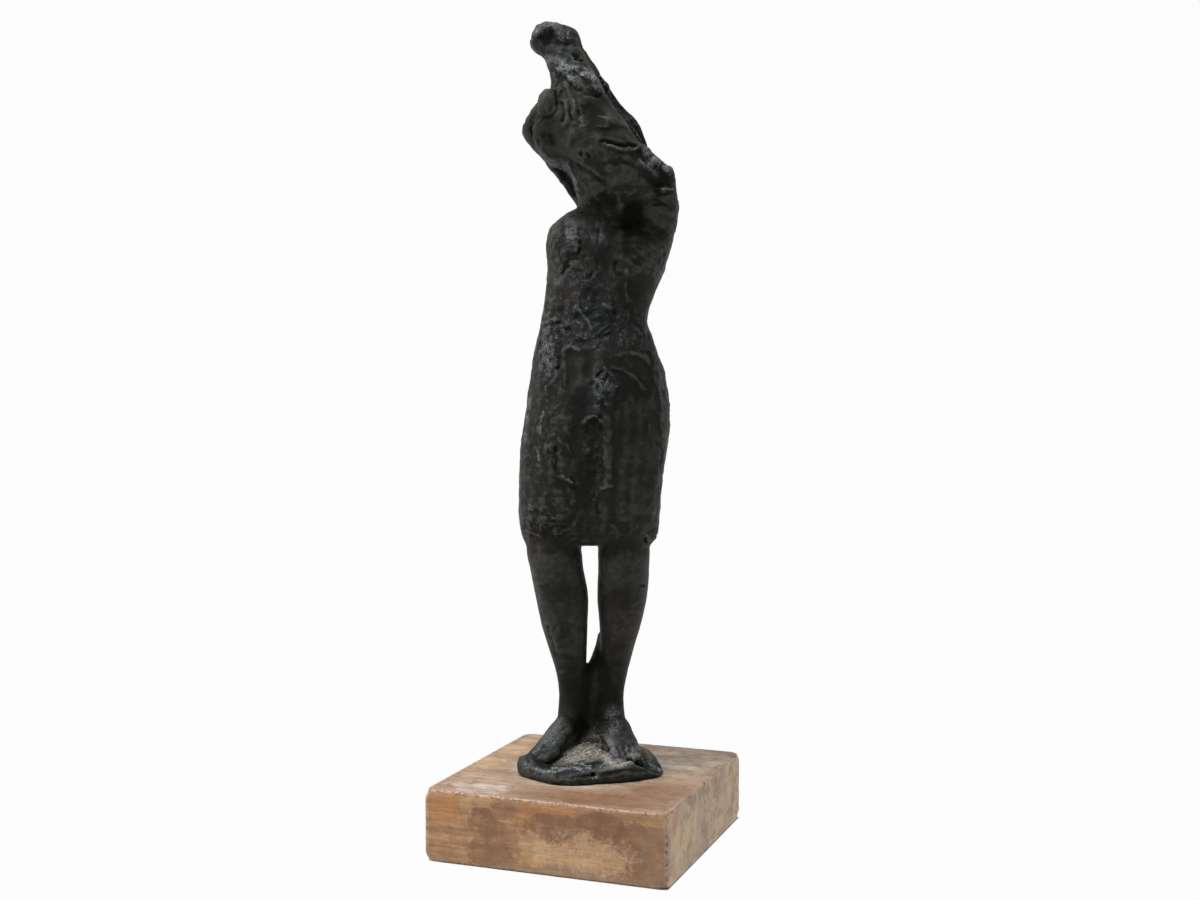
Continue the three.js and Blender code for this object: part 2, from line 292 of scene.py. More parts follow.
HAND_MARKS = (
    # The bent hand: its hollow palm, the rough rim round it, the knuckle ridge and the small lobe
    Patch((-17.9, 389.7), (6.6, 8.0), -0.9, 18.0, 2.0, 0.7),
    Patch((-21.7, 391.1), (3.6, 5.0), 1.7, 10.0, 2.0, 0.8),
    Mark(
        ((-24.7, 385.9), (-26.1, 389.7), (-26.1, 393.5), (-24.1, 396.4), (-19.8, 398.3), (-15.4, 396.9)),
        1.0,
        0.4,
        0.8,
    ),
    Mark(((-15.4, 397.4), (-13.0, 394.0), (-11.5, 389.2), (-13.5, 384.9)), 1.3, 0.4, 0.8),
    Mark(((-12.0, 398.3), (-10.6, 395.4)), 1.0, -0.7),
    Patch((-7.7, 391.6), (2.6, 5.0), 0.5, 12.0, 3.0, 0.3),
    Mark(((-6.7, 395.9), (-5.2, 393.5)), 1.0, -0.6),
    Patch((-10.1, 383.0), (3.4, 3.6), -0.8, -20.0, 3.0, 0.3),
    Mark(((-13.0, 384.9), (-7.7, 383.0)), 0.7, 0.4, 0.5),
    Mark(((-6.2, 384.4), (-5.2, 383.0)), 0.9, -1.6),
    Mark(((-5.7, 382.0), (-2.3, 381.1)), 0.7, -1.6),
    Mark(((-5.7, 389.2), (-1.4, 382.0), (3.5, 375.8), (8.3, 368.6)), 1.5, 0.3, 0.5),
    Mark(((-2.3, 385.9), (3.0, 378.2), (7.9, 370.5)), 0.6, -0.6),
    # The rolled upper edge of the cloth round the wrist, and the crease under it
    Mark(
        ((-19.8, 381.5), (-14.0, 379.6), (-9.1, 376.7), (-3.8, 374.3), (1.5, 372.4), (7.9, 367.6)),
        2.5,
        1.6,
        0.4,
    ),
    Mark(((-12.1, 372.9), (-8.7, 369.1), (-4.3, 366.2), (4.9, 364.2)), 0.9, -1.4),
    Mark(((4.5, 367.6), (8.8, 365.7)), 1.2, 1.0),
)

FOLD_MARKS = (
    # Thin folds that fan out from the wrist
    Mark(((-15.9, 375.3), (-14.0, 371.5), (-15.5, 368.6)), 0.6, -1.2),
    Mark(((-13.5, 374.3), (-12.1, 366.7), (-13.5, 363.8)), 0.6, -1.0),
    Mark(((-13.0, 359.9), (-12.1, 356.1), (-12.1, 351.7)), 0.7, -1.3),
    Mark(((-10.6, 366.7), (-10.1, 363.3), (-8.7, 358.0), (-7.7, 351.7)), 0.6, -1.2),
    Mark(((-8.7, 369.5), (-5.7, 361.8), (-4.8, 356.1)), 0.7, -0.9),
    Mark(((-7.2, 367.1), (-4.3, 359.0), (-1.9, 351.7)), 0.7, 0.45),
    Mark(((-15.0, 368.6), (-14.5, 363.8)), 0.6, 0.4),
    Mark(((-11.1, 371.5), (-9.6, 363.8), (-6.7, 353.2)), 0.6, 0.4),
    Mark(((-4.8, 356.1), (-3.8, 354.1)), 0.8, -1.3),
    # Her right fist in the cloth, with a crease round it, and the bands of the forearm
    Patch((-19.8, 359.9), (4.8, 7.0), 1.3, 18.0, 2.5, 0.3),
    Mark(((-15.0, 365.7), (-14.5, 359.9), (-15.0, 356.5), (-17.9, 353.2), (-22.8, 352.7)), 0.8, -0.75),
    Mark(((-23.3, 353.2), (-27.6, 348.8)), 0.7, -1.3),
    Mark(((-21.8, 352.7), (-26.7, 348.4)), 0.7, 0.8),
    Mark(((-25.7, 354.6), (-28.6, 351.2)), 0.7, -0.6),
    Mark(((-27.6, 348.8), (-26.2, 344.0), (-24.7, 341.6), (-24.3, 338.2)), 0.8, -1.4),
    Mark(((-24.3, 342.6), (-20.4, 343.5)), 0.8, -0.4),
    Mark(((-18.4, 344.0), (-16.5, 340.2)), 0.8, -0.5),
    # The lower left edge of the cloth, thin and lit, over the recess by the upper arm
    Mark(((-24.3, 337.7), (-18.4, 333.9), (-12.6, 332.9), (-9.2, 331.0)), 0.9, 0.5, 0.6),
    Mark(((-9.7, 332.4), (-8.2, 327.1), (-5.3, 322.3), (-4.3, 316.5)), 0.8, 0.8, 0.8),
    Mark(((-6.3, 317.0), (-9.2, 322.8), (-13.6, 329.1)), 2.5, -3.4, 0.4),
    # Pits and the slanting furrow over the cheek
    Patch((-3.3, 335.8), (0.8, 1.2), -1.1, 30.0),
    Patch((0.6, 335.3), (0.7, 1.4), -1.2, 40.0),
    Mark(((-4.3, 330.5), (0.6, 327.1), (8.4, 321.8)), 0.8, -0.9, 1.6),
    Mark(((-2.4, 331.5), (4.9, 326.6)), 1.4, 0.5),
    # The dark plane behind the folds, the rough front edge of the cloth, and the groove behind it
    Patch((4.5, 356.5), (5.0, 5.5), -0.6),
    Mark(((9.8, 362.8), (15.6, 356.1), (20.5, 349.8), (24.9, 343.1), (26.4, 339.2)), 1.0, 0.8, 0.35),
    Mark(((28.3, 340.6), (23.4, 349.3), (17.6, 357.5), (11.7, 364.2)), 1.3, -1.3, 0.5),
    Mark(((4.9, 354.1), (8.8, 353.2)), 0.5, 0.35, 0.6),
    Mark(((5.4, 348.8), (10.3, 348.8)), 0.5, 0.3, 0.6),
    Mark(((16.1, 349.8), (19.0, 348.8)), 0.6, 0.4, 0.6),
    # The slit fold over the brow with its lit lower lip, and the shaded band under it
    Patch((18.1, 345.5), (6.0, 2.6), 0.8, -8.0),
    Mark(((6.9, 342.1), (12.7, 341.1), (18.1, 340.6), (23.4, 340.2)), 0.8, -1.7),
    Mark(((7.4, 341.1), (12.2, 339.7), (16.6, 338.7), (24.4, 338.2)), 0.7, 0.6, 1.2),
    Mark(((7.4, 330.5), (15.7, 331.5), (23.4, 331.5)), 1.8, -0.5, 0.6),
    Patch((14.7, 326.2), (8.0, 5.5), 0.8),
    # The bunched ledge of cloth at her left elbow, and the smooth plane below it
    Mark(((24.9, 338.7), (29.3, 333.9), (34.6, 330.0), (40.0, 325.7)), 2.4, 1.8, 0.3),
    Mark(((27.3, 337.7), (32.2, 332.9), (37.1, 329.1)), 0.8, -1.3),
    Mark(((25.9, 334.4), (30.3, 331.0), (35.1, 327.6)), 0.8, -0.9),
    Patch((28.8, 336.8), (2.2, 1.8), 1.5, -40.0),
    Patch((33.7, 332.9), (2.8, 1.8), 1.5, -35.0),
    Patch((38.1, 328.6), (2.4, 1.8), 1.2, -35.0),
    Patch((31.2, 334.9), (0.8, 1.8), -1.5, -35.0),
    Patch((28.8, 334.4), (0.8, 0.9), -1.6),
    Patch((32.7, 330.0), (0.8, 0.8), -1.6),
    Patch((35.1, 328.6), (0.8, 0.7), -1.4),
    Patch((30.3, 331.5), (1.5, 0.9), 1.2, -40.0),
    Patch((39.0, 326.2), (1.4, 0.9), 1.0, -35.0),
    Patch((36.1, 330.5), (0.8, 1.8), -1.3, -35.0),
    Patch((32.2, 325.2), (9.0, 3.2), -1.5, -24.0),
    Mark(((36.6, 317.9), (39.0, 318.9), (41.5, 319.4)), 0.6, 0.9, 0.7),
    Mark(((32.7, 318.4), (35.2, 317.9)), 0.5, -0.8),
    Mark(((34.2, 316.0), (39.5, 316.5)), 0.5, -0.6),
    Mark(((31.7, 314.1), (34.2, 313.1)), 0.5, -0.5),
    Mark(((32.7, 311.2), (35.7, 312.1), (38.1, 311.2)), 0.7, -0.9),
    Mark(((33.7, 309.7), (41.0, 306.8)), 1.4, 0.4),
    # Throat, the hollow under the chin and the deep hollow under the raised arm
    Mark(((2.0, 313.1), (5.9, 310.2)), 1.2, -0.9),
    Mark(((7.4, 314.1), (11.8, 311.2)), 2.6, -1.3),
    Mark(((14.2, 316.5), (16.2, 306.8)), 1.6, 0.7),
    Mark(((20.5, 308.7), (25.4, 305.3)), 4.2, -0.35),
    Mark(((25.4, 304.9), (31.3, 301.9), (35.7, 299.0)), 1.6, -0.45),
    Mark(((27.9, 299.5), (32.7, 298.6)), 0.8, 0.5),
    Mark(((19.1, 301.0), (19.1, 289.3)), 3.2, -0.8),
)

CHEST_MARKS = (
    # The neckline, cuts and dabs over the chest, and the folds down to the waist
    Mark(((-10.7, 306.3), (-6.8, 302.9), (-2.9, 301.9)), 1.3, 0.5),
    Mark(((-12.6, 302.9), (-12.6, 297.6), (-11.7, 295.2)), 0.6, -1.0),
    Patch((-12.6, 292.2), (1.4, 3.2), -0.7, -10.0),
    Mark(((-4.3, 300.0), (-3.8, 294.2), (-4.8, 287.4)), 0.6, -1.0),
    Mark(((4.9, 298.6), (4.5, 293.2)), 0.6, -0.7),
    Mark(((-10.2, 283.5), (-10.2, 281.1), (-12.2, 278.6)), 0.8, -1.6),
    Mark(((-13.1, 278.2), (-9.2, 279.6)), 0.8, 0.4),
    Mark(((2.0, 278.6), (-0.4, 276.2)), 0.6, -1.0),
    Mark(((13.2, 283.5), (12.8, 279.1)), 0.6, -1.0),
    Mark(((21.5, 284.0), (25.5, 282.5)), 0.7, -0.7),
    Mark(((4.0, 284.5), (3.0, 279.1)), 0.8, -0.4),
    Patch((-8.2, 295.6), (3.6, 6.0), 0.35, 0.0, 3.0, 0.4),
    Patch((15.2, 277.7), (1.6, 1.2), -0.6),
    Mark(((5.9, 300.0), (8.8, 291.3)), 2.0, 0.4),
    Mark(((-15.6, 285.9), (-19.5, 285.0)), 0.8, -0.4),
    Patch((5.9, 266.5), (4.6, 3.8), -0.6, -15.0),
    Mark(((-5.8, 261.6), (-1.9, 256.7), (1.0, 252.8), (2.5, 251.4)), 0.7, 0.8, 0.35),
    Mark(((9.3, 260.6), (13.3, 262.1)), 0.9, 0.7, 0.5),
    Mark(((6.4, 249.9), (10.3, 252.8)), 0.7, 0.7, 0.5),
    Mark(((6.4, 247.0), (10.3, 249.9)), 0.7, 0.6, 0.5),
    Patch((26.4, 269.9), (6.0, 9.5), -0.5, 10.0),
    Mark(((18.6, 279.6), (19.1, 265.0)), 1.0, 0.4),
    Mark(((-15.6, 267.0), (-17.6, 264.0)), 1.2, 0.4),
    Mark(((32.8, 283.5), (32.3, 276.7)), 0.7, 0.5),
)

DRESS_MARKS = (
    # Lumps of the waist, and the rough column down her right side with its arched top
    Mark(((-21.5, 253.3), (-18.5, 255.3), (-15.1, 254.8)), 0.8, 0.8, 0.5),
    Mark(((-19.5, 252.3), (-20.5, 243.1), (-21.0, 232.8)), 3.0, 0.7),
    Mark(((-14.1, 254.3), (-13.7, 243.1), (-14.7, 231.8)), 0.9, -0.6),
    Patch((-10.2, 250.4), (1.5, 1.2), -1.1),
    Mark(((-5.8, 247.0), (-0.9, 245.5)), 0.8, 0.7, 0.5),
    Mark(((-8.3, 242.6), (-5.3, 246.5)), 0.8, 0.6, 0.5),
    Mark(((-1.4, 241.6), (3.0, 241.6)), 0.7, 0.7, 0.5),
    Mark(((-11.2, 241.1), (-7.8, 242.6), (-4.4, 240.6)), 1.2, 0.7, 0.5),
    # The flat sunken panel under the lumps
    Patch((-4.4, 229.8), (7.0, 12.0), -0.55, 0.0, 4.0, 0.3),
    Mark(((-11.7, 240.1), (-11.2, 223.0)), 0.8, 0.5, 0.7),
    Mark(((6.4, 230.3), (1.5, 224.0)), 0.8, -0.9),
    # The rough pad in front of the hip, and the crescent and upright ridge below it
    Patch((7.9, 222.0), (5.2, 9.0), 0.5, 12.0, 2.5, 0.4),
    Mark(((7.4, 227.4), (9.3, 229.8), (11.8, 227.9)), 0.8, 0.6, 0.5),
    Mark(((-2.4, 204.4), (0.0, 207.3), (3.5, 208.3), (5.9, 206.3)), 0.8, 0.9, 0.5),
    Patch((2.0, 200.4), (3.6, 7.6), -0.45, 0.0, 2.5, 0.5),
    Patch((3.5, 211.2), (3.4, 2.4), 0.5, -10.0, 3.0, 0.3),
    Patch((9.4, 192.6), (2.1, 19.0), 0.55, 2.0, 3.0, 0.4),
    Mark(((5.9, 203.9), (6.9, 194.0), (7.4, 177.8)), 1.0, -0.45),
    Mark(((6.4, 172.9), (11.8, 173.4)), 0.8, 0.6, 0.5),
    Mark(((1.5, 170.9), (3.0, 166.9), (4.4, 170.4)), 0.6, 0.6),
    Mark(((2.0, 169.9), (3.0, 168.4)), 0.6, -0.8),
    Mark(((4.4, 165.5), (5.4, 161.0)), 0.7, -0.8),
    # Two arcs over her left hip with a hollow between them
    Mark(((14.7, 237.7), (21.1, 239.1), (27.0, 237.7), (30.9, 232.3), (32.9, 224.0)), 1.6, 0.65, 0.5),
    Mark(((11.8, 231.8), (17.2, 230.8), (22.6, 226.9), (27.0, 221.0)), 1.1, 0.75, 0.5),
    Patch((25.5, 232.8), (5.0, 3.4), -0.5, -35.0),
    Mark(((26.5, 240.1), (29.4, 239.1)), 0.8, -1.0),
    Mark(((31.4, 237.7), (34.3, 227.9), (35.8, 216.1), (35.9, 198.5)), 1.3, 0.5, 0.5),
    Mark(((33.9, 196.5), (36.4, 190.6), (35.4, 181.7)), 0.7, -0.6),
    Mark(((20.6, 217.6), (22.6, 215.2)), 1.0, 0.4),
    Mark(((30.0, 203.9), (30.5, 199.4)), 0.9, 0.4),
    # Dabs and scratches of the front and of her right side
    Patch((-19.6, 189.6), (2.6, 5.2), 0.5, 0.0, 2.5, 0.4),
    Mark(((-17.2, 193.5), (-16.7, 188.6), (-16.7, 184.7)), 0.8, 0.5, 0.4),
    Mark(((-15.7, 181.7), (-16.2, 191.6)), 0.9, -0.6),
    Mark(((-14.2, 197.0), (-11.3, 194.0), (-8.3, 190.6)), 0.6, 0.5, 0.6),
    Mark(((-11.3, 201.4), (-8.8, 198.0)), 0.6, 0.4, 0.6),
    Mark(((-22.1, 210.2), (-24.5, 200.4)), 0.9, 0.6, 0.6),
    Mark(((-14.2, 178.3), (-10.3, 176.8), (-6.4, 174.8)), 1.0, 0.6, 0.5),
    Mark(((-7.9, 177.8), (-6.4, 173.4)), 0.9, -0.6),
    Mark(((-20.2, 170.9), (-22.6, 162.0)), 0.8, 0.6),
    Mark(((-25.6, 161.0), (-23.1, 159.0), (-20.2, 155.6)), 0.8, 0.6, 0.5),
    Patch((-19.7, 150.6), (2.6, 3.4), -0.6, 20.0),
    Mark(((-19.2, 157.1), (-10.3, 156.6)), 0.7, -0.3),
    Mark(((-17.7, 154.6), (-10.8, 153.6)), 0.7, -0.3),
    Mark(((-13.8, 150.2), (-9.8, 153.1)), 0.7, 0.4),
    Mark(((-6.4, 155.6), (-2.9, 161.0)), 0.9, 0.3),
    Mark(((8.9, 161.0), (7.9, 152.1)), 1.2, 0.3),
    # The hem: a step and a pit at her left, and the arch over the gap between the legs
    Mark(((25.6, 143.7), (29.1, 144.7), (31.5, 148.2), (33.5, 151.6)), 1.4, 0.8, 0.6),
    Mark(((-32.0, 152.6), (-28.6, 151.1), (-24.6, 149.2)), 1.0, 0.8, 0.4),
    Patch((28.1, 147.2), (1.0, 1.2), -1.5),
    Mark(((33.0, 178.8), (33.9, 174.8)), 1.0, 0.5),
    Mark(((-31.5, 163.0), (-31.5, 156.1)), 1.2, 0.6),
)

LEG_MARKS = (
    # Cuts and dabs of the knees and shins, and of the web between the ankles
    Mark(((-27.1, 128.9), (-25.7, 125.4), (-22.2, 125.9)), 0.7, 0.6, 0.4),
    Mark(((-28.1, 139.3), (-26.1, 129.9)), 1.0, 0.3),
    Patch((26.6, 124.4), (0.9, 0.9), -0.8),
    Mark(((-20.3, 104.5), (-18.3, 97.1), (-16.3, 89.6)), 0.7, -0.5),
    Patch((-15.3, 100.6), (1.8, 3.0), 0.4, -15.0),
    Mark(((-1.0, 72.6), (-1.0, 62.6), (-2.0, 51.6)), 1.2, -0.3, 0.7),
    Patch((4.4, 54.1), (2.6, 3.2), -0.4),
    # Kneecaps
    Patch((-13.8, 136.8), (5.0, 5.0), 0.4),
    Patch((18.2, 136.8), (5.0, 5.0), 0.4),
)

FOOT_MARKS = (
    # Her right foot: the gap between the big toe and the rest, and the ankle
    Mark(((-26.3, 40.1), (-24.3, 42.6), (-21.9, 44.6)), 0.6, -1.0),
    Mark(((-24.8, 38.1), (-20.4, 41.6), (-15.9, 46.1)), 1.4, 0.4),
    Mark(((-29.3, 42.1), (-27.3, 43.6)), 0.6, -0.7),
    Mark(((-22.3, 46.6), (-17.4, 52.1), (-12.9, 57.1)), 1.6, 0.35),
    Mark(((-21.4, 43.6), (-15.9, 49.1), (-10.9, 54.6)), 0.8, -0.25),
    Mark(((-13.9, 41.6), (-10.0, 48.6), (-5.5, 53.6)), 0.9, -0.3),
    Mark(((-15.4, 59.6), (-13.4, 56.6)), 2.0, 0.2),
    # Her left foot: gaps between the toes, and the tendons of the instep
    Mark(((14.3, 44.1), (16.8, 38.6)), 0.5, -1.0),
    Mark(((17.3, 44.6), (19.3, 39.1)), 0.45, -0.9),
    Mark(((20.3, 45.1), (21.8, 39.6)), 0.45, -0.9),
    Mark(((22.8, 45.6), (24.8, 40.6)), 0.45, -0.8),
    Mark(((7.9, 48.6), (8.9, 42.6), (12.4, 37.6)), 0.9, -0.8),
    Mark(((11.4, 56.6), (13.8, 55.6)), 0.8, -0.4),
    Mark(((16.8, 63.6), (18.3, 59.6)), 1.5, 0.4),
    Patch((23.3, 37.6), (4.5, 2.6), 2.6, -10.0),
    Mark(((13.9, 42.1), (15.3, 39.1)), 1.0, 0.35),
    Mark(((19.3, 42.6), (20.3, 40.1)), 0.9, 0.35),
    Mark(((21.8, 43.1), (23.3, 40.6)), 0.9, 0.35),
    # The ground banked up behind the feet
    Patch((1.9, 46.6), (8.0, 5.0), 1.8),
    Patch((3.4, 52.1), (5.0, 5.0), 0.6),
)

PLINTH_MARKS = (
    # The crest of the rim and the flat cuts below it
    Mark(((-25.8, 32.6), (-21.4, 31.6), (-16.4, 31.6)), 0.9, 0.7, 0.6),
    Mark(((-16.4, 31.6), (-7.0, 33.1), (1.4, 33.1)), 0.8, 1.5, 0.4),
    Mark(((4.9, 32.1), (9.4, 36.1), (12.4, 35.6), (18.3, 37.1), (25.8, 36.6), (33.2, 33.6)), 0.8, 1.7, 0.4),
    Mark(((25.8, 36.1), (30.7, 34.1), (36.2, 31.6)), 1.0, 1.5, 0.5),
    Mark(((4.9, 33.6), (8.9, 37.6), (11.9, 39.1)), 0.9, 0.7),
    Mark(((-15.9, 29.1), (-6.5, 29.1), (1.0, 29.6)), 1.4, -0.8),
    Mark(((7.9, 30.1), (18.3, 32.6), (29.7, 32.6)), 1.6, -0.9),
    Mark(((-17.4, 30.1), (-15.9, 26.6)), 0.7, 0.5),
    Mark(((3.9, 32.6), (4.9, 26.1)), 1.2, -0.5),
    Patch((2.9, 30.1), (1.0, 1.0), -2.2),
    Mark(((-33.3, 38.6), (-33.8, 32.6), (-31.8, 28.6)), 1.2, 0.7),
    Mark(((-30.3, 37.6), (-28.8, 31.6)), 1.0, -0.8),
    Mark(((15.8, 27.6), (21.8, 29.6), (25.8, 29.1)), 0.8, 0.4),
)

FRONT_MARKS = HAND_MARKS + FOLD_MARKS + CHEST_MARKS + DRESS_MARKS + LEG_MARKS + FOOT_MARKS + PLINTH_MARKS

BACK_MARKS = (
    # Long folds of the cloth down the back of the head, and the crease where it meets the shoulders
    Mark(((-14.0, 372.0), (-12.0, 350.0), (-16.0, 336.0)), 1.3, -1.2),
    Mark(((-6.0, 368.0), (-2.0, 345.0), (2.0, 326.0)), 1.4, -1.2),
    Mark(((-10.0, 366.0), (-7.0, 342.0), (-6.0, 328.0)), 1.6, 0.8),
    Mark(((2.0, 360.0), (8.0, 340.0), (16.0, 328.0)), 1.5, -1.0),
    Mark(((-20.0, 352.0), (-10.0, 330.0), (2.0, 318.0)), 1.6, 0.6),
    # Shoulder blades, the spine, and the waist
    Mark(((-9.0, 297.0), (-10.0, 284.0), (-4.0, 277.0)), 1.6, 0.9, 0.5),
    Mark(((26.0, 297.0), (26.0, 284.0), (18.0, 277.0)), 1.6, 0.9, 0.5),
    Mark(((5.0, 298.0), (2.0, 280.0), (3.5, 262.0)), 2.6, -0.6),
    Mark(((-20.0, 263.0), (-9.0, 257.0), (2.0, 256.0)), 1.6, -0.4),
    Mark(((8.0, 249.0), (20.0, 252.0), (27.0, 258.0)), 1.3, -0.6),
    Patch((-6.0, 236.0), (5.0, 4.0), 0.6, 20.0, 3.0, 0.3),
    Patch((16.0, 234.0), (4.0, 6.0), 0.6, -20.0, 3.0, 0.3),
    # The dress over the seat and thighs
    Mark(((-24.0, 198.0), (-15.0, 189.0), (-4.0, 190.0)), 2.2, -0.5),
    Mark(((10.0, 190.0), (20.0, 187.0), (32.0, 196.0)), 2.2, -0.5),
    Mark(((3.0, 204.0), (5.0, 186.0), (2.0, 168.0)), 2.6, -0.7),
    Mark(((-20.0, 182.0), (-17.0, 160.0)), 1.2, 0.6, 0.5),
    Mark(((22.0, 180.0), (24.0, 158.0)), 1.2, 0.6, 0.5),
    Patch((-12.0, 170.0), (4.0, 8.0), 0.6, 8.0, 3.0, 0.25),
    Patch((14.0, 166.0), (5.0, 6.0), -0.6, 0.0, 3.0, 0.3),
    # Hollows of the knees, calves and heels
    Patch((-15.0, 138.0), (6.0, 5.0), -0.8),
    Patch((18.0, 138.0), (6.0, 5.0), -0.8),
    Mark(((-14.0, 128.0), (-13.0, 104.0)), 2.4, 0.5),
    Mark(((17.0, 128.0), (16.0, 104.0)), 2.4, 0.5),
    Mark(((-10.5, 76.0), (-9.5, 56.0)), 1.4, 0.5),
    Mark(((12.0, 76.0), (12.0, 56.0)), 1.4, 0.5),
)

# How rough the clay is at a seen place, over its plain roughness: pellets and grain where over 0
ROUGH_FRONT = (
    Patch((-13.5, 375.3), (9.0, 5.0), 0.8, -30.0),
    Patch((1.1, 370.5), (9.0, 5.0), 0.9, -35.0),
    Patch((-20.8, 396.4), (7.0, 3.5), 0.7, 15.0),
    Patch((14.2, 356.1), (6.0, 8.0), 0.3, 30.0),
    Patch((32.7, 332.4), (11.0, 4.5), 1.4, -35.0),
    Patch((-7.7, 297.1), (5.0, 8.5), 0.4),
    Patch((5.9, 296.1), (10.0, 9.0), 0.2),
    Patch((4.0, 254.3), (24.0, 14.0), 0.9),
    Patch((-19.1, 240.6), (5.0, 20.0), 1.3),
    Patch((7.9, 222.0), (7.0, 10.0), 1.3, 12.0),
    Patch((-4.4, 228.9), (7.5, 13.0), -0.7, 0.0, 5.0, 0.2),
    Patch((3.9, 194.0), (5.0, 16.0), 0.8),
    Patch((-19.6, 201.4), (6.0, 18.0), 0.5),
    Patch((-21.2, 154.6), (10.0, 11.0), 0.7),
    Patch((22.1, 194.0), (12.0, 38.0), -0.6, 0.0, 2.5, 0.4),
    Patch((26.9, 269.9), (6.0, 12.0), -0.5),
    Patch((-13.5, 342.6), (13.0, 10.0), -0.45),
    Patch((14.7, 325.2), (9.0, 7.0), -0.45),
    Patch((4.5, 356.5), (6.0, 6.0), -0.5),
    Patch((14.2, 348.4), (11.0, 12.0), -0.45),
    Patch((21.5, 345.0), (6.0, 8.0), -0.2),
    Patch((32.7, 311.2), (9.0, 10.0), -0.45),
    Patch((29.6, 148.2), (5.0, 5.0), 0.5),
    Patch((1.1, 380.1), (4.0, 11.0), -0.5, 32.0),
    Patch((9.8, 365.7), (5.0, 12.0), -0.6, 32.0),
    Patch((18.6, 353.2), (5.0, 12.0), -0.6, 32.0),
    Patch((25.4, 343.5), (4.0, 8.0), -0.6, 32.0),
    Patch((-20.3, 359.9), (7.0, 9.0), -0.3, 20.0),
)

ROUGH_BACK = (
    Patch((4.0, 250.0), (26.0, 9.0), 0.7),
    Patch((10.0, 318.0), (14.0, 10.0), 0.6),
    Patch((-18.0, 180.0), (10.0, 18.0), 0.4),
    Patch((24.0, 212.0), (10.0, 14.0), -0.4),
    Patch((0.0, 350.0), (14.0, 16.0), 0.2),
)

# Where the patina is bluish: partly its own tint, partly painted bluish sheen where light catches it
COOL_TINT_AND_SHEEN_FRONT = (
    Patch((-10.6, 382.0), (6.0, 5.0), 0.9, -25.0),
    Patch((-8.2, 296.1), (5.0, 8.0), 0.8),
    Patch((4.9, 294.2), (5.0, 4.0), 0.6),
    Patch((3.0, 254.3), (16.0, 12.0), 0.55),
    Patch((8.9, 241.6), (14.0, 6.0), 0.2),
    Patch((-7.8, 216.1), (10.0, 26.0), 0.22),
    Patch((7.4, 223.0), (7.0, 10.0), 0.6, 12.0),
    Patch((-8.7, 323.3), (6.0, 8.0), 0.4, 30.0),
    Patch((-20.9, 44.6), (9.0, 8.0), 0.6, 40.0),
    Patch((16.8, 48.6), (7.0, 10.0), 0.5, -20.0),
    Patch((1.9, 29.6), (34.0, 4.0), 0.6),
)

# Where it is reddish
WARM_FRONT = (
    Patch((16.8, 106.5), (8.0, 24.0), 0.55),
    Patch((-27.6, 136.3), (6.0, 13.0), 0.6),
    Patch((29.6, 144.2), (6.0, 8.0), 0.4),
    Patch((-12.7, 265.0), (7.0, 8.0), 0.4),
    Patch((30.5, 198.5), (5.0, 12.0), 0.3),
)
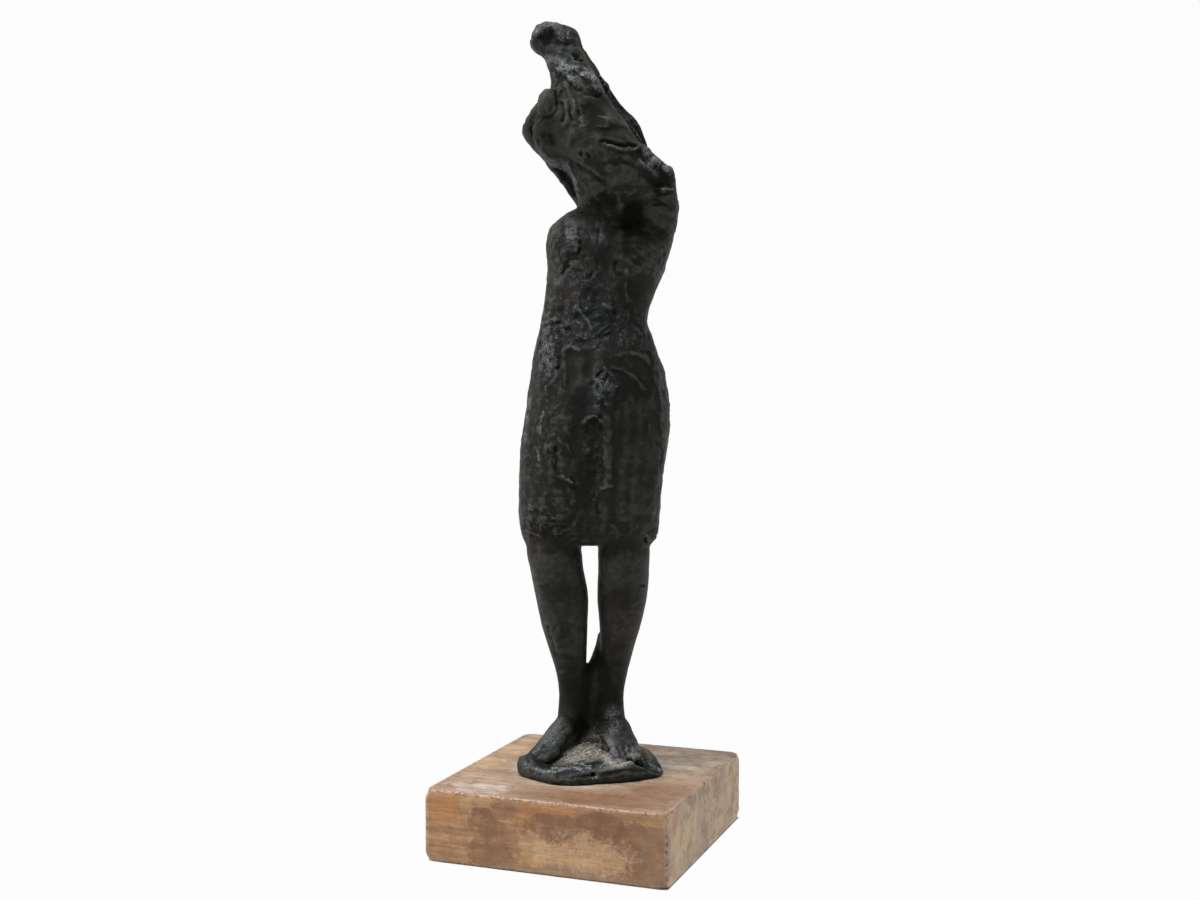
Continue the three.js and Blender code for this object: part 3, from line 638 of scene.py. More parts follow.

# Where edges are painted pale: partly worn and dusty, partly painted highlight where light catches them,
# and painted light that lifts shaded hollows
PALE_WEAR_AND_HIGHLIGHT_FRONT = (
    Mark(((-18.8, 379.6), (-15.0, 377.7), (-11.6, 375.3), (-7.7, 373.4)), 2.0, 0.75, 0.8),
    Mark(((-11.6, 378.2), (-5.3, 375.3), (1.5, 372.9)), 2.6, 1.25),
    Mark(((1.1, 371.5), (5.9, 367.6), (8.8, 365.7)), 1.8, 0.3),
    Mark(((27.8, 337.3), (31.2, 334.4), (34.6, 331.5), (38.5, 328.6)), 1.3, 1.1, 0.9),
    Mark(((26.8, 334.9), (30.3, 331.5), (34.2, 328.1)), 1.2, 0.4),
    Mark(((26.8, 332.4), (30.3, 329.5), (33.7, 326.6)), 1.8, 0.5),
    Mark(((-25.6, 394.5), (-23.2, 396.9), (-18.3, 398.3), (-14.9, 397.4)), 1.0, 0.55),
    Patch((-12.0, 392.6), (2.6, 4.0), 0.4, 10.0),
    Patch((-19.8, 389.7), (7.0, 8.0), 0.035, 18.0),
    Patch((-7.7, 297.6), (3.2, 6.0), 0.26),
    Patch((4.5, 295.2), (3.0, 2.0), 0.45),
    Patch((13.2, 301.9), (3.0, 1.2), 0.4),
    Mark(((-22.8, 336.8), (-17.5, 333.4), (-12.6, 332.9), (-9.2, 331.5)), 0.4, 0.12),
    Mark(((-9.2, 330.0), (-7.2, 325.2), (-4.8, 318.4)), 0.5, 0.4),
    Mark(((-7.2, 361.8), (-4.8, 355.6), (-2.4, 349.8)), 0.8, 0.35),
    Mark(((11.3, 360.9), (16.6, 354.6), (21.5, 348.4), (25.4, 342.1)), 0.5, 0.4),
    Mark(((7.9, 341.1), (12.7, 339.7), (17.6, 338.2), (23.9, 338.2)), 0.45, 0.5),
    Mark(((5.9, 353.7), (11.7, 352.7)), 0.5, 0.4),
    Mark(((5.9, 348.8), (9.8, 348.8)), 0.4, 0.35),
    Mark(((36.6, 318.4), (41.0, 318.9)), 0.45, 1.0),
    Patch((-2.9, 276.7), (15.0, 5.5), 0.18),
    Mark(((-22.5, 239.6), (-23.0, 232.8), (-23.5, 225.9)), 1.0, 0.28),
    Patch((11.9, 59.6), (4.0, 3.0), 0.2),
    Patch((26.5, 245.5), (4.0, 10.0), 0.11),
    Patch((27.8, 313.6), (5.0, 7.0), 0.08),
    Patch((30.8, 297.1), (5.0, 3.4), 0.1),
    Patch((9.8, 302.9), (5.0, 4.0), 0.08),
    Patch((1.0, 186.7), (4.0, 10.0), 0.05),
    Patch((-17.6, 257.7), (5.0, 3.0), 0.1),
    Patch((3.0, 161.0), (6.0, 16.0), 0.07),
    Mark(((-26.6, 131.3), (-24.7, 122.4), (-23.2, 115.5)), 1.4, 0.16),
    Mark(((-20.8, 106.5), (-18.8, 99.6), (-16.8, 92.6)), 1.2, 0.16),
    Mark(((5.4, 99.1), (3.4, 94.1), (2.0, 88.6)), 0.8, 0.16),
    Mark(((-6.8, 261.6), (-1.9, 257.2), (1.0, 252.8)), 0.8, 0.4),
    Mark(((7.4, 263.1), (12.8, 260.1)), 0.6, 0.35),
    Mark(((-20.5, 254.3), (-15.6, 255.3)), 0.7, 0.35),
    Mark(((-20.0, 252.3), (-20.0, 243.1), (-18.6, 227.9)), 2.0, 0.35),
    Mark(((-28.5, 166.9), (-30.1, 147.2)), 1.0, 0.25),
    Mark(((-22.1, 210.2), (-24.0, 198.5)), 0.7, 0.4),
    Mark(((-24.5, 190.6), (-24.6, 183.7)), 0.5, 0.7),
    Mark(((-12.8, 178.8), (-8.3, 175.8)), 0.8, 0.4),
    Mark(((-23.6, 161.0), (-19.7, 157.1)), 0.8, 0.35),
    Patch((29.6, 149.2), (3.5, 4.0), 0.22),
    Mark(((-28.9, 216.1), (-29.4, 212.2)), 0.9, 0.5),
    Mark(((-29.9, 207.8), (-30.4, 203.9)), 0.8, 0.6),
    Mark(((-30.4, 199.4), (-30.9, 196.0)), 0.9, 0.45),
    Mark(((-10.7, 241.6), (-7.8, 242.6), (-4.4, 241.1)), 0.7, 0.5),
    Patch((7.4, 222.0), (4.4, 6.2), 0.26, 12.0),
    Mark(((-1.4, 205.3), (1.5, 207.8), (4.9, 207.8)), 0.6, 0.4),
    Mark(((18.7, 230.3), (23.1, 227.4), (26.5, 223.0)), 0.5, 0.16),
    Mark(((22.1, 239.1), (27.5, 237.7), (30.4, 234.3)), 0.5, 0.2),
    Mark(((33.9, 228.9), (35.8, 222.0), (36.3, 215.2)), 1.0, 0.2),
    Mark(((6.4, 196.5), (6.9, 185.7), (7.9, 173.9)), 1.6, 0.14),
    Patch((-17.4, 48.6), (5.0, 5.0), 0.12, 40.0),
    Mark(((-26.8, 41.6), (-24.3, 43.6)), 0.9, 0.5),
    Mark(((-21.4, 32.1), (-15.9, 32.1), (-7.0, 33.1), (1.9, 33.1)), 0.6, 1.2),
    Mark(((-30.8, 35.6), (-28.3, 33.6)), 1.1, 0.5),
    Mark(((-25.8, 33.6), (-21.4, 32.1)), 0.8, 0.7),
    Mark(((5.9, 32.6), (9.9, 36.6), (12.4, 36.1)), 1.1, 1.0),
    Mark(((11.9, 35.1), (23.8, 37.1)), 0.8, 1.0),
    Mark(((25.8, 36.1), (30.7, 34.1), (35.7, 32.1)), 1.1, 0.9),
    Mark(((26.2, 45.6), (29.7, 41.6), (31.7, 36.6)), 1.2, 0.35),
    Patch((16.8, 41.1), (7.0, 3.0), 0.4),
    Patch((23.8, 39.1), (3.0, 2.4), 0.5),
    Patch((21.8, 44.1), (3.0, 4.0), 0.2),
    Patch((10.9, 45.1), (4.0, 6.0), 0.22),
    Patch((11.9, 58.1), (5.0, 7.0), 0.34),
    Patch((-13.9, 54.6), (4.0, 5.0), 0.16, 40.0),
    Patch((-19.9, 48.6), (6.0, 4.0), 0.14, 40.0),
    Mark(((2.9, 28.1), (4.4, 29.1)), 0.7, 0.9),
)

# Where dry soil has caught on what faces forwards
SOIL_FRONT = (
    Patch((4.4, 46.1), (7.0, 4.0), 0.62),
    Patch((4.9, 51.1), (4.0, 5.0), 0.24),
    Patch((-6.5, 43.1), (6.0, 2.6), 0.5, 30.0),
    Patch((9.9, 41.6), (2.2, 5.0), 0.3, -12.0),
    Patch((14.3, 36.6), (6.0, 1.6), 0.4),
    Patch((24.3, 37.6), (3.6, 2.0), 0.5),
    Mark(((-23.9, 32.1), (-12.4, 33.1), (-2.0, 34.6), (6.9, 35.6)), 2.4, -1.2, 0.8),
    Patch((24.8, 41.6), (3.0, 7.0), 0.42, -20.0),
)

# Deep places that little light reaches
SHADE_FRONT = (
    Mark(((19.6, 301.0), (19.1, 289.3)), 2.8, 0.15),
    Patch((11.3, 313.1), (3.6, 2.6), 0.1, -20.0, 2.0, 0.7),
    Mark(((-15.0, 330.5), (-10.2, 323.7), (-6.3, 317.4)), 2.6, 0.95),
    Mark(((12.2, 361.8), (18.6, 358.0), (23.9, 351.2), (28.3, 341.6)), 1.2, 0.4, 2.0),
    Mark(((8.8, 342.1), (13.7, 341.1), (23.4, 340.2)), 0.7, 0.6),
    Mark(((-14.5, 362.8), (-15.0, 357.0), (-18.9, 353.2)), 0.8, 0.25),
    Mark(((-27.6, 348.4), (-24.7, 342.1)), 0.9, 0.6),
    Mark(((-23.7, 395.0), (-20.3, 396.4), (-15.9, 395.0)), 1.0, 0.3),
    Patch((4.5, 356.5), (4.0, 5.5), 0.25),
    Patch((-22.3, 348.8), (10.0, 7.0), 0.74, -20.0),
    Patch((-19.9, 340.2), (8.0, 5.0), 0.55, -35.0),
    Mark(((-18.9, 334.4), (-13.1, 332.4), (-7.7, 329.1)), 2.2, 0.5),
    Patch((-13.6, 295.2), (3.0, 7.0), 0.3),
    Patch((-4.8, 361.4), (5.0, 6.5), 0.48, 15.0),
    Patch((-13.0, 354.6), (3.4, 5.0), 0.42),
    Patch((-12.6, 291.3), (3.0, 5.0), 0.3),
    Patch((-21.7, 388.7), (5.0, 5.0), 0.45),
    Patch((-18.8, 384.4), (4.0, 2.0), 0.4),
    Patch((3.0, 343.1), (8.0, 5.0), 0.42),
    Patch((14.7, 345.9), (6.0, 3.0), 0.35),
    Patch((20.5, 340.2), (6.0, 2.4), 0.3, -6.0),
    Patch((20.6, 290.8), (5.0, 5.0), 0.55),
    Patch((21.1, 210.2), (9.0, 16.0), 0.28),
    Patch((-17.7, 176.8), (6.0, 5.0), 0.3),
    Patch((20.7, 129.9), (6.0, 10.0), 0.22),
    Patch((-10.9, 132.3), (6.0, 10.0), 0.22),
    Patch((1.0, 230.3), (10.0, 4.5), 0.32),
    Patch((1.0, 237.7), (9.0, 2.5), 0.25),
    Patch((2.0, 59.6), (6.0, 18.0), 0.34),
    Patch((-3.5, 53.6), (4.0, 8.0), 0.5, 20.0),
    Mark(((7.9, 46.1), (8.9, 41.6), (12.4, 37.6)), 0.8, 0.4),
    Mark(((-27.8, 39.1), (-23.9, 36.1), (-17.9, 36.6), (-12.9, 39.6)), 1.0, 0.85),
    Mark(((-32.8, 25.1), (-14.0, 22.5), (5.9, 23.0), (25.8, 26.1)), 1.4, 0.5),
    Patch((2.9, 30.1), (1.1, 1.1), 1.0),
)


@dataclass(frozen=True)
class Ground:
    """The top of the plinth, and where the feet stand on it, in the figure's frame."""

    feet: tuple[tuple[Place, Place], ...] = (((-8.4, 15.5), (-25.3, -10.5)), ((12.0, 18.5), (21.3, -8.5)))
    foot_edge: Band = (7.8, 9.8)
    middle: Place = (0.5, 2.5)
    half: Place = (36.0, 32.5)
    rim: Band = (0.98, 0.72)

    def bare(self, points: np.ndarray) -> np.ndarray:
        """Gives how much of each point is on the plinth's top, clear of the feet and of the rim.

        Args:
            points: Places in the figure's frame, in millimetres.

        Returns:
            A share from 0 to 1 for each point.
        """
        across = points[:, :2]
        share = smoothstep(*self.rim, np.linalg.norm((across - self.middle) / self.half, axis=1))
        for heel, toe in self.feet:
            share *= smoothstep(*self.foot_edge, gap_to_line(across, heel, toe))
        return share


# The dense mesh and the tools that shape it


def read_all(items: bpy.types.bpy_prop_collection, name: str, width: int, kind: type) -> np.ndarray:
    """Reads a property of all items of a mesh.

    Args:
        items: The mesh's vertices, edges or triangles.
        name: The property's name.
        width: How many values it has for each item.
        kind: The type of its values.

    Returns:
        One row for each item.
    """
    values = np.empty(len(items) * width, kind)
    items.foreach_get(name, values)
    return values.reshape(-1, width)


def store(mesh: bpy.types.Mesh, name: str, values: np.ndarray | list[float]) -> None:
    """Stores one value for each point of a mesh as a named attribute."""
    attribute = mesh.attributes.new(name, "FLOAT", "POINT")
    attribute.data.foreach_set("value", np.array(values, np.float32))


class Clay:
    """A dense closed mesh, in millimetres in the figure's frame, that tools push in and out."""

    uneven: float = 0.4
    uneven_size: float = 6.0
    uneven_shift: float = 31.0
    carve_limit: float = 3.6

    def __init__(self, mesh: bpy.types.Mesh, stand: Stand) -> None:
        """Reads a mesh.

        Args:
            mesh: A closed mesh in metres, in place on the block.
            stand: Where the figure stands.
        """
        self.mesh = mesh
        self.stand = stand
        self.points = stand.to_figure(read_all(mesh.vertices, "co", 3, np.float32).astype(float))
        mesh.calc_loop_triangles()
        self.triangles = read_all(mesh.loop_triangles, "vertices", 3, np.int32)
        ends = read_all(mesh.edges, "vertices", 2, np.int32)
        pairs = np.concatenate([ends, ends[:, ::-1]])
        pairs = pairs[np.argsort(pairs[:, 0], kind="stable")]
        self.neighbours = pairs[:, 1]
        self.counts = np.bincount(pairs[:, 0], minlength=len(self.points)).astype(float)
        self.starts = np.concatenate([[0], np.cumsum(self.counts)[:-1]]).astype(int)

    def smoothed(self, values: np.ndarray, rounds: int, share: float = 0.5) -> np.ndarray:
        """Averages values with their neighbours' a number of times.

        Args:
            values: One row for each point.
            rounds: How many times.
            share: How far each round moves a value to its neighbours' mean.

        Returns:
            The smoothed values.
        """
        result = values.astype(float)
        counts = self.counts[:, None] if values.ndim > 1 else self.counts
        for _ in range(rounds):
            around = np.add.reduceat(result[self.neighbours], self.starts, axis=0) / counts
            result += share * (around - result)
        return result

    def normals(self, rounds: int = 0) -> np.ndarray:
        """Gives the direction that the surface faces at each point.

        Args:
            rounds: How many times the directions are averaged with their neighbours'.

        Returns:
            One unit vector for each point.
        """
        first, second, third = (self.points[self.triangles[:, corner]] for corner in range(3))
        flat = np.cross(second - first, third - first)
        summed = np.zeros_like(self.points)
        for corner in range(3):
            for axis in range(3):
                summed[:, axis] += np.bincount(self.triangles[:, corner], flat[:, axis], len(summed))
        summed = self.smoothed(summed, rounds)
        return summed / np.linalg.norm(summed, axis=1)[:, None]

    def ease(self, rounds: int, share: np.ndarray) -> None:
        """Smooths facets away while the broad forms keep their size.

        Args:
            rounds: How many times the points are averaged.
            share: How much of the easing each point takes, from 0 to 1.
        """
        eased = self.smoothed(self.points, rounds)
        eased += self.smoothed(self.points - eased, rounds)
        self.points += share[:, None] * (eased - self.points)

    def push(self, rise: np.ndarray, rounds: int = 2) -> None:
        """Moves each point along the surface's direction by its own rise, in millimetres."""
        self.points += self.normals(rounds) * rise[:, None]

    def carve(self, sight: Sight, marks: tuple) -> None:
        """Cuts and lays marks on what is seen from a sight, up to a limit of depth and height.

        Args:
            sight: Where the marks are seen from.
            marks: The marks and patches.
        """
        facing = sight.facing(self.points, self.normals(rounds=2))
        seen = np.flatnonzero(facing)
        near = self.points[seen]
        uneven = 1.0 + self.uneven * hill_noise(near, self.uneven_size, self.uneven_shift)
        lift = total(marks, sight.strayed(near)) * uneven
        rise = np.zeros(len(self.points))
        rise[seen] = self.carve_limit * np.tanh(lift / self.carve_limit) * facing[seen]
        self.push(rise)

    def write(self) -> None:
        """Puts the points back into the mesh, in metres on the block."""
        places = self.stand.to_block(self.points).astype(np.float32)
        self.mesh.vertices.foreach_set("co", places.ravel())
        self.mesh.update()


@dataclass(frozen=True)
class Pellets:
    """Small pads of clay pressed on, or shaved off, at random places all round the figure.

    A place is the point nearest to a random one on a wide cylinder round the figure's axis. A pad is
    left out where its long way would run into the surface.
    """

    count: int
    length: Band
    width: Band
    rise: Band
    seed: int
    rim: float = 0.72
    slope: float = 0.6
    reach: float = 60.0
    axis_depth: float = 5.0
    heights: Band = (36.0, 400.0)
    slab: float = 8.0
    lean: float = 0.9
    least_run: float = 0.2
    least_facing: float = 0.2
    rounds: int = 6

    def lay(self, clay: Clay, roughness: np.ndarray) -> None:
        """Lays the pads on the clay.

        Args:
            clay: The mesh to work on.
            roughness: How strongly pads show at each point, where 1 is plain.
        """
        pick = np.random.default_rng(self.seed)
        order = np.argsort(clay.points[:, 2], kind="stable")
        heights = clay.points[order, 2]
        normals = clay.normals(self.rounds)
        rise = np.zeros(len(clay.points))
        for _ in range(self.count):
            angle, level = pick.uniform(0.0, 2.0 * math.pi), pick.uniform(*self.heights)
            length, width = pick.uniform(*self.length), pick.uniform(*self.width)
            height, lean = pick.uniform(*self.rise), pick.normal(0.0, self.lean)
            across, depth = self.reach * math.cos(angle), self.axis_depth + self.reach * math.sin(angle)
            low, high = np.searchsorted(heights, (level - self.slab, level + self.slab))
            near = order[low:high]
            if len(near) == 0:
                continue
            offset = clay.points[near] - np.array([across, depth, level])
            middle = near[np.argmin(np.einsum("ij,ij->i", offset, offset))]
            normal = normals[middle]
            upward = np.array([math.sin(lean), 0.0, math.cos(lean)])
            along = upward - normal * (upward @ normal)
            run = np.linalg.norm(along)
            if run < self.least_run:
                continue
            along /= run
            offset = clay.points[near] - clay.points[middle]
            forward = offset @ along / length
            spread = np.hypot(forward, offset @ np.cross(normal, along) / width)
            close = (np.abs(offset @ normal) < length) & (normals[near] @ normal > self.least_facing)
            pad = smoothstep(1.0, self.rim, spread) * (1.0 - self.slope * (1.0 - forward) / 2.0)
            rise[near] += np.where((spread < 1.0) & close, pad, 0.0) * height * roughness[middle]
        clay.push(rise, self.rounds)


# Node trees

Socket = bpy.types.NodeSocket


class Bench:
    """A node tree with short ways to add and join nodes."""

    def __init__(self, tree: bpy.types.NodeTree) -> None:
        """Takes the tree to work in."""
        self.tree = tree

    def join(self, node: bpy.types.Node, inputs: dict) -> None:
        """Joins a socket to each input of a node, or sets the input's value.

        Args:
            node: The node.
            inputs: A value or a socket for each named or numbered input.
        """
        for name, value in inputs.items():
            if isinstance(value, Socket):
                self.tree.links.new(value, node.inputs[name])
            else:
                node.inputs[name].default_value = value

    def node(self, kind: str, inputs: dict | None = None, **settings: object) -> bpy.types.Node:
        """Adds a node.

        Args:
            kind: The node's type, without its ShaderNode prefix.
            inputs: A value or a socket for each named or numbered input.
            settings: The node's own properties.

        Returns:
            The new node.
        """
        made = self.tree.nodes.new("ShaderNode" + kind)
        for name, value in settings.items():
            setattr(made, name, value)
        self.join(made, inputs or {})
        return made

    def math(self, operation: str, first: object, second: object = 0.0, kept: bool = False) -> Socket:
        """Gives the result of a Math node, kept between 0 and 1 where kept is set."""
        return self.node("Math", {0: first, 1: second}, operation=operation, use_clamp=kept).outputs[0]

    def times(self, *shares: object) -> Socket:
        """Gives the product of shares."""
        return reduce(lambda product, share: self.math("MULTIPLY", product, share, True), shares)

    def plus(self, first: object, second: object) -> Socket:
        """Gives the sum of two shares, up to 1."""
        return self.math("ADD", first, second, True)

    def vector(self, operation: str, first: object, second: object) -> Socket:
        """Gives the result of a Vector Math node."""
        return self.node("VectorMath", {0: first, 1: second}, operation=operation).outputs[0]

    def scaled(self, first: object, size: object) -> Socket:
        """Gives a vector made longer or shorter."""
        return self.node("VectorMath", {0: first, "Scale": size}, operation="SCALE").outputs[0]

    def part(self, vector: Socket, axis: str) -> Socket:
        """Gives one part of a vector."""
        return self.node("SeparateXYZ", {"Vector": vector}).outputs[axis]

    def faced(self, axis: str) -> Socket:
        """Gives one part of the direction that the surface faces."""
        return self.part(self.node("TexCoord").outputs["Normal"], axis)

    def mix(self, share: object, low: object, high: object) -> Socket:
        """Gives one colour laid over another by a share."""
        inputs = {0: share, 6: low, 7: high}
        return self.node("Mix", inputs, data_type="RGBA", clamp_factor=True).outputs[2]

    def ease(
        self, value: object, low: object, high: object, start: float = 0.0, end: float = 1.0
    ) -> Socket:
        """Gives a value mapped smoothly from between low and high to between start and end."""
        inputs = {"Value": value, "From Min": low, "From Max": high, "To Min": start, "To Max": end}
        return self.node("MapRange", inputs, interpolation_type="SMOOTHSTEP").outputs["Result"]

    def between(self, mask: object, least: float, most: float = 1.0) -> Socket:
        """Gives a mask brought between a least and a most share."""
        return self.ease(mask, 0.0, 1.0, least, most)

    def cloud(
        self, places: Socket, scale: object, detail: float, roughness: object, output: str = "Fac"
    ) -> Socket:
        """Gives a cloudy pattern, as a value or as a colour."""
        inputs = {"Vector": places, "Scale": scale, "Detail": detail, "Roughness": roughness}
        return self.node("TexNoise", inputs).outputs[output]

    def bump(self, height: Socket, strength: float, depth: float) -> Socket:
        """Gives a normal bent by a height, whose depth is in millimetres."""
        inputs = {"Height": height, "Strength": strength, "Distance": depth * MM}
        return self.node("Bump", inputs).outputs["Normal"]

    def stored(self, name: str) -> Socket:
        """Gives a value that is stored on the mesh under a name."""
        return self.node("Attribute", attribute_name=name).outputs["Fac"]

    def eased(self, name: str, ramp: Band | Ramp) -> Socket:
        """Gives a stored value mapped smoothly by a band or a ramp."""
        return self.ease(self.stored(name), *ramp)

    def places(self, scale: Spot = (1.0, 1.0, 1.0)) -> Socket:
        """Gives the object's own coordinates in millimetres.

        Args:
            scale: What they are multiplied by. Less than 1 draws a pattern out along an axis.

        Returns:
            The coordinates.
        """
        source = self.node("TexCoord").outputs["Object"]
        size = tuple(share / MM for share in scale)
        return self.node("Mapping", {"Vector": source, "Scale": size}).outputs["Vector"]

    def group(self, tree: bpy.types.NodeTree, inputs: dict) -> Socket:
        """Adds a node group and gives its mask."""
        return self.node("Group", inputs, node_tree=tree).outputs["Mask"]


class MaskGroup:
    """A node group that puts out one mask from 0 to 1."""

    def __init__(self, name: str, vectors: tuple[str, ...], values: dict[str, float]) -> None:
        """Makes the group with its inputs and its output.

        Args:
            name: The group's name.
            vectors: The names of the inputs that are vectors.
            values: The names of the inputs that are numbers, and what they are at first.
        """
        self.tree = bpy.data.node_groups.new(name, "ShaderNodeTree")
        face = self.tree.interface
        for vector in vectors:
            face.new_socket(vector, in_out="INPUT", socket_type="NodeSocketVector")
        for number, value in values.items():
            face.new_socket(number, in_out="INPUT", socket_type="NodeSocketFloat").default_value = value
        face.new_socket("Mask", in_out="OUTPUT", socket_type="NodeSocketFloat")
        given = self.tree.nodes.new("NodeGroupInput").outputs
        mask = self.mask(Bench(self.tree), given)
        self.tree.links.new(mask, self.tree.nodes.new("NodeGroupOutput").inputs["Mask"])

    def mask(self, bench: Bench, given: bpy.types.NodeOutputs) -> Socket:
        """Builds the nodes that turn what is given into the mask."""
        raise NotImplementedError


@dataclass(frozen=True)
class Cloud:
    """The width of cloudy patches in millimetres, where their mask starts and is full, and how ragged."""

    size: float
    low: float
    high: float
    roughness: float = 0.6


class MottleGroup(MaskGroup):
    """Cloudy patches, used for stains, dust, changes of tone, and painted sparkle and glints."""

    detail: float = 4.0

    def __init__(self) -> None:
        """Makes the node group."""
        plain = {"Size": 10.0, "Low": 0.4, "High": 0.6, "Roughness": 0.6}
        super().__init__("cloudy_patches", ("Places",), plain)

    def mask(self, bench: Bench, given: bpy.types.NodeOutputs) -> Socket:
        """Builds a cloud that is cut between two of its values.

        Args:
            bench: The group's tree.
            given: The group's inputs.

        Returns:
            The mask.
        """
        scale = bench.math("DIVIDE", 1.0, given["Size"])
        cloud = bench.cloud(given["Places"], scale, self.detail, given["Roughness"])
        return bench.ease(cloud, given["Low"], given["High"])

    def place(self, bench: Bench, places: Socket, cloud: Cloud) -> Socket:
        """Adds the group to a material and gives the mask of a cloud."""
        inputs = {"Places": places, "Size": cloud.size, "Low": cloud.low, "High": cloud.high}
        return bench.group(self.tree, inputs | {"Roughness": cloud.roughness})


def new_material(name: str) -> tuple[bpy.types.Material, Bench, bpy.types.Node]:
    """Makes an empty material.

    Args:
        name: The material's name.

    Returns:
        The material, its tree and its surface shader, which is already joined to the output.
    """
    material = bpy.data.materials.new(name)
    material.use_nodes = True
    material.node_tree.nodes.clear()
    bench = Bench(material.node_tree)
    shader = bench.node("BsdfPrincipled")
    bench.node("OutputMaterial", {"Surface": shader.outputs["BSDF"]})
    return material, bench, shader


@dataclass(frozen=True)
class BronzeFinish:
    """A nearly black patina, worn on the ridges, with dust and dry soil on what faces up, with painted
    highlights on its edges and painted shade in its hollows.
    """

    mottle: MottleGroup
    deep_and_shade: Colour = colour(0.0066, 0.0070, 0.0058)
    dark: Colour = colour(0.0130, 0.0135, 0.0104)
    body: Colour = colour(0.0168, 0.0173, 0.0134)
    worn: Colour = colour(0.0680, 0.0690, 0.0600)
    cool_tint_and_sheen: Colour = colour(0.0210, 0.0260, 0.0300)
    warm: Colour = colour(0.0460, 0.0240, 0.0190)
    sparkle: Colour = colour(0.2300, 0.2400, 0.2450)
    highlight_and_wear: Colour = colour(0.3900, 0.4100, 0.4400)
    dust: Colour = colour(0.14, 0.137, 0.125)
    soil: Colour = colour(0.43, 0.395, 0.335)
    # Clouds: of tone, of pits, of grit, of painted sparkle and glints, and of caked soil
    broad_cloud: Cloud = Cloud(13.0, 0.38, 0.62)
    small_cloud: Cloud = Cloud(3.0, 0.35, 0.68, 0.7)
    pit_cloud: Cloud = Cloud(1.5, 0.60, 0.67, 0.55)
    grit_cloud: Cloud = Cloud(0.8, 0.42, 0.60, 0.8)
    sparkle_cloud: Cloud = Cloud(0.8, 0.55, 0.63, 0.75)
    speckle_cloud: Cloud = Cloud(0.9, 0.46, 0.58, 0.85)
    cake_cloud: Cloud = Cloud(7.0, 0.34, 0.58, 0.7)
    # Tones that follow the relief and the roughness: worn ridges, hollows darkened by painted shade over
    # the patina's own tone, and painted sparkle and glints
    tint_share: float = 0.8
    hollow_patina_and_shade: Band = (0.42, 0.05)
    hollow_patina_and_shade_share: float = 0.55
    ridge: Band = (0.55, 0.97)
    ridge_wear: Band = (0.28, 0.8)
    pitted: Ramp = (0.3, 1.6, 0.1, 0.8)
    rough_sparkle: Ramp = (0.7, 2.0, 0.03, 1.0)
    raised_sparkle: Ramp = (0.45, 0.75, 0.1, 1.0)
    raised_glint: Ramp = (0.35, 0.65, 0.35, 1.0)
    least_glint: float = 0.08
    least_cake: float = 0.45
    least_crumbs: float = 0.14
    # How it takes the light
    metallic: float = 0.45
    specular: float = 0.15
    roughness: Ramp = (0.3, 1.1, 0.56, 0.36)
    mottled_roughness: float = 0.12
    covered_roughness: float = 0.5
    # The grain: scale, detail and roughness of two clouds, and how strongly they show
    coarse_grain: Spot = (0.55, 3.0, 0.6)
    fine_grain: Spot = (1.3, 4.0, 0.7)
    pit_depth: float = 0.6
    grain_share: Ramp = (0.2, 1.8, 0.17, 1.3)
    grain_depth: float = 1.1

    def make(self) -> bpy.types.Material:
        """Builds the material.

        Returns:
            The dark bronze.
        """
        material, bench, shader = new_material("dark_bronze")
        places = bench.places()
        small = self.mottle.place(bench, places, self.small_cloud)
        pits = self.mottle.place(bench, places, self.pit_cloud)
        grit = self.mottle.place(bench, places, self.grit_cloud)
        tone = self.patina(bench, places, small)
        pitted = bench.times(pits, bench.eased("rough", self.pitted))
        tone = self.glints(bench, places, bench.mix(pitted, tone, self.deep_and_shade))
        film = bench.times(bench.stored("dust"), grit)
        crumbs = self.crumbs(bench, places, grit)
        tone = bench.mix(crumbs, bench.mix(film, tone, self.dust), self.soil)
        cover = bench.math("MAXIMUM", film, crumbs, True)
        roughness = bench.eased("rough", self.roughness)
        roughness = bench.plus(roughness, bench.times(small, self.mottled_roughness))
        roughness = bench.plus(roughness, bench.times(cover, self.covered_roughness))
        # Painted shade: the metal rises where shade is painted, which dims the diffuse light there.
        shut = bench.times(bench.stored("shade"), 1.0 - self.metallic)
        metal = bench.math("SUBTRACT", bench.plus(shut, self.metallic), cover, True)
        surface = {"Base Color": tone, "Roughness": roughness, "Metallic": metal}
        surface |= {"Specular IOR Level": self.specular, "Normal": self.grain(bench, places, pits)}
        bench.join(shader, surface)
        return material

    def patina(self, bench: Bench, places: Socket, small: Socket) -> Socket:
        """Colours the patina: cool places with painted bluish sheen, warm places, rubbed ridges, hollows
        darkened by the patina's own tone and by painted shade, and painted shade in deep places.

        Args:
            bench: The material's tree.
            places: Coordinates in millimetres.
            small: The mask of the small clouds.

        Returns:
            The colour.
        """
        broad = self.mottle.place(bench, places, self.broad_cloud)
        tone = bench.mix(bench.times(broad, self.tint_share), self.dark, self.body)
        # Bluish tint: partly the patina's own, partly painted sheen.
        tone = bench.mix(bench.times(bench.stored("chill_and_sheen"), self.tint_share), tone, self.cool_tint_and_sheen)
        tone = bench.mix(bench.times(bench.stored("warmth"), broad), tone, self.warm)
        wear = bench.times(bench.eased("relief", self.ridge), bench.between(small, *self.ridge_wear))
        tone = bench.mix(wear, tone, self.worn)
        # Hollows darker: partly the patina's own tone, partly painted shade, joined with the painted shade
        # of deep places.
        hollow_patina_and_shade = bench.times(bench.eased("relief", self.hollow_patina_and_shade), self.hollow_patina_and_shade_share)
        hollows_and_shade = bench.math("MAXIMUM", hollow_patina_and_shade, bench.stored("shade"), True)
        return bench.mix(hollows_and_shade, tone, self.deep_and_shade)

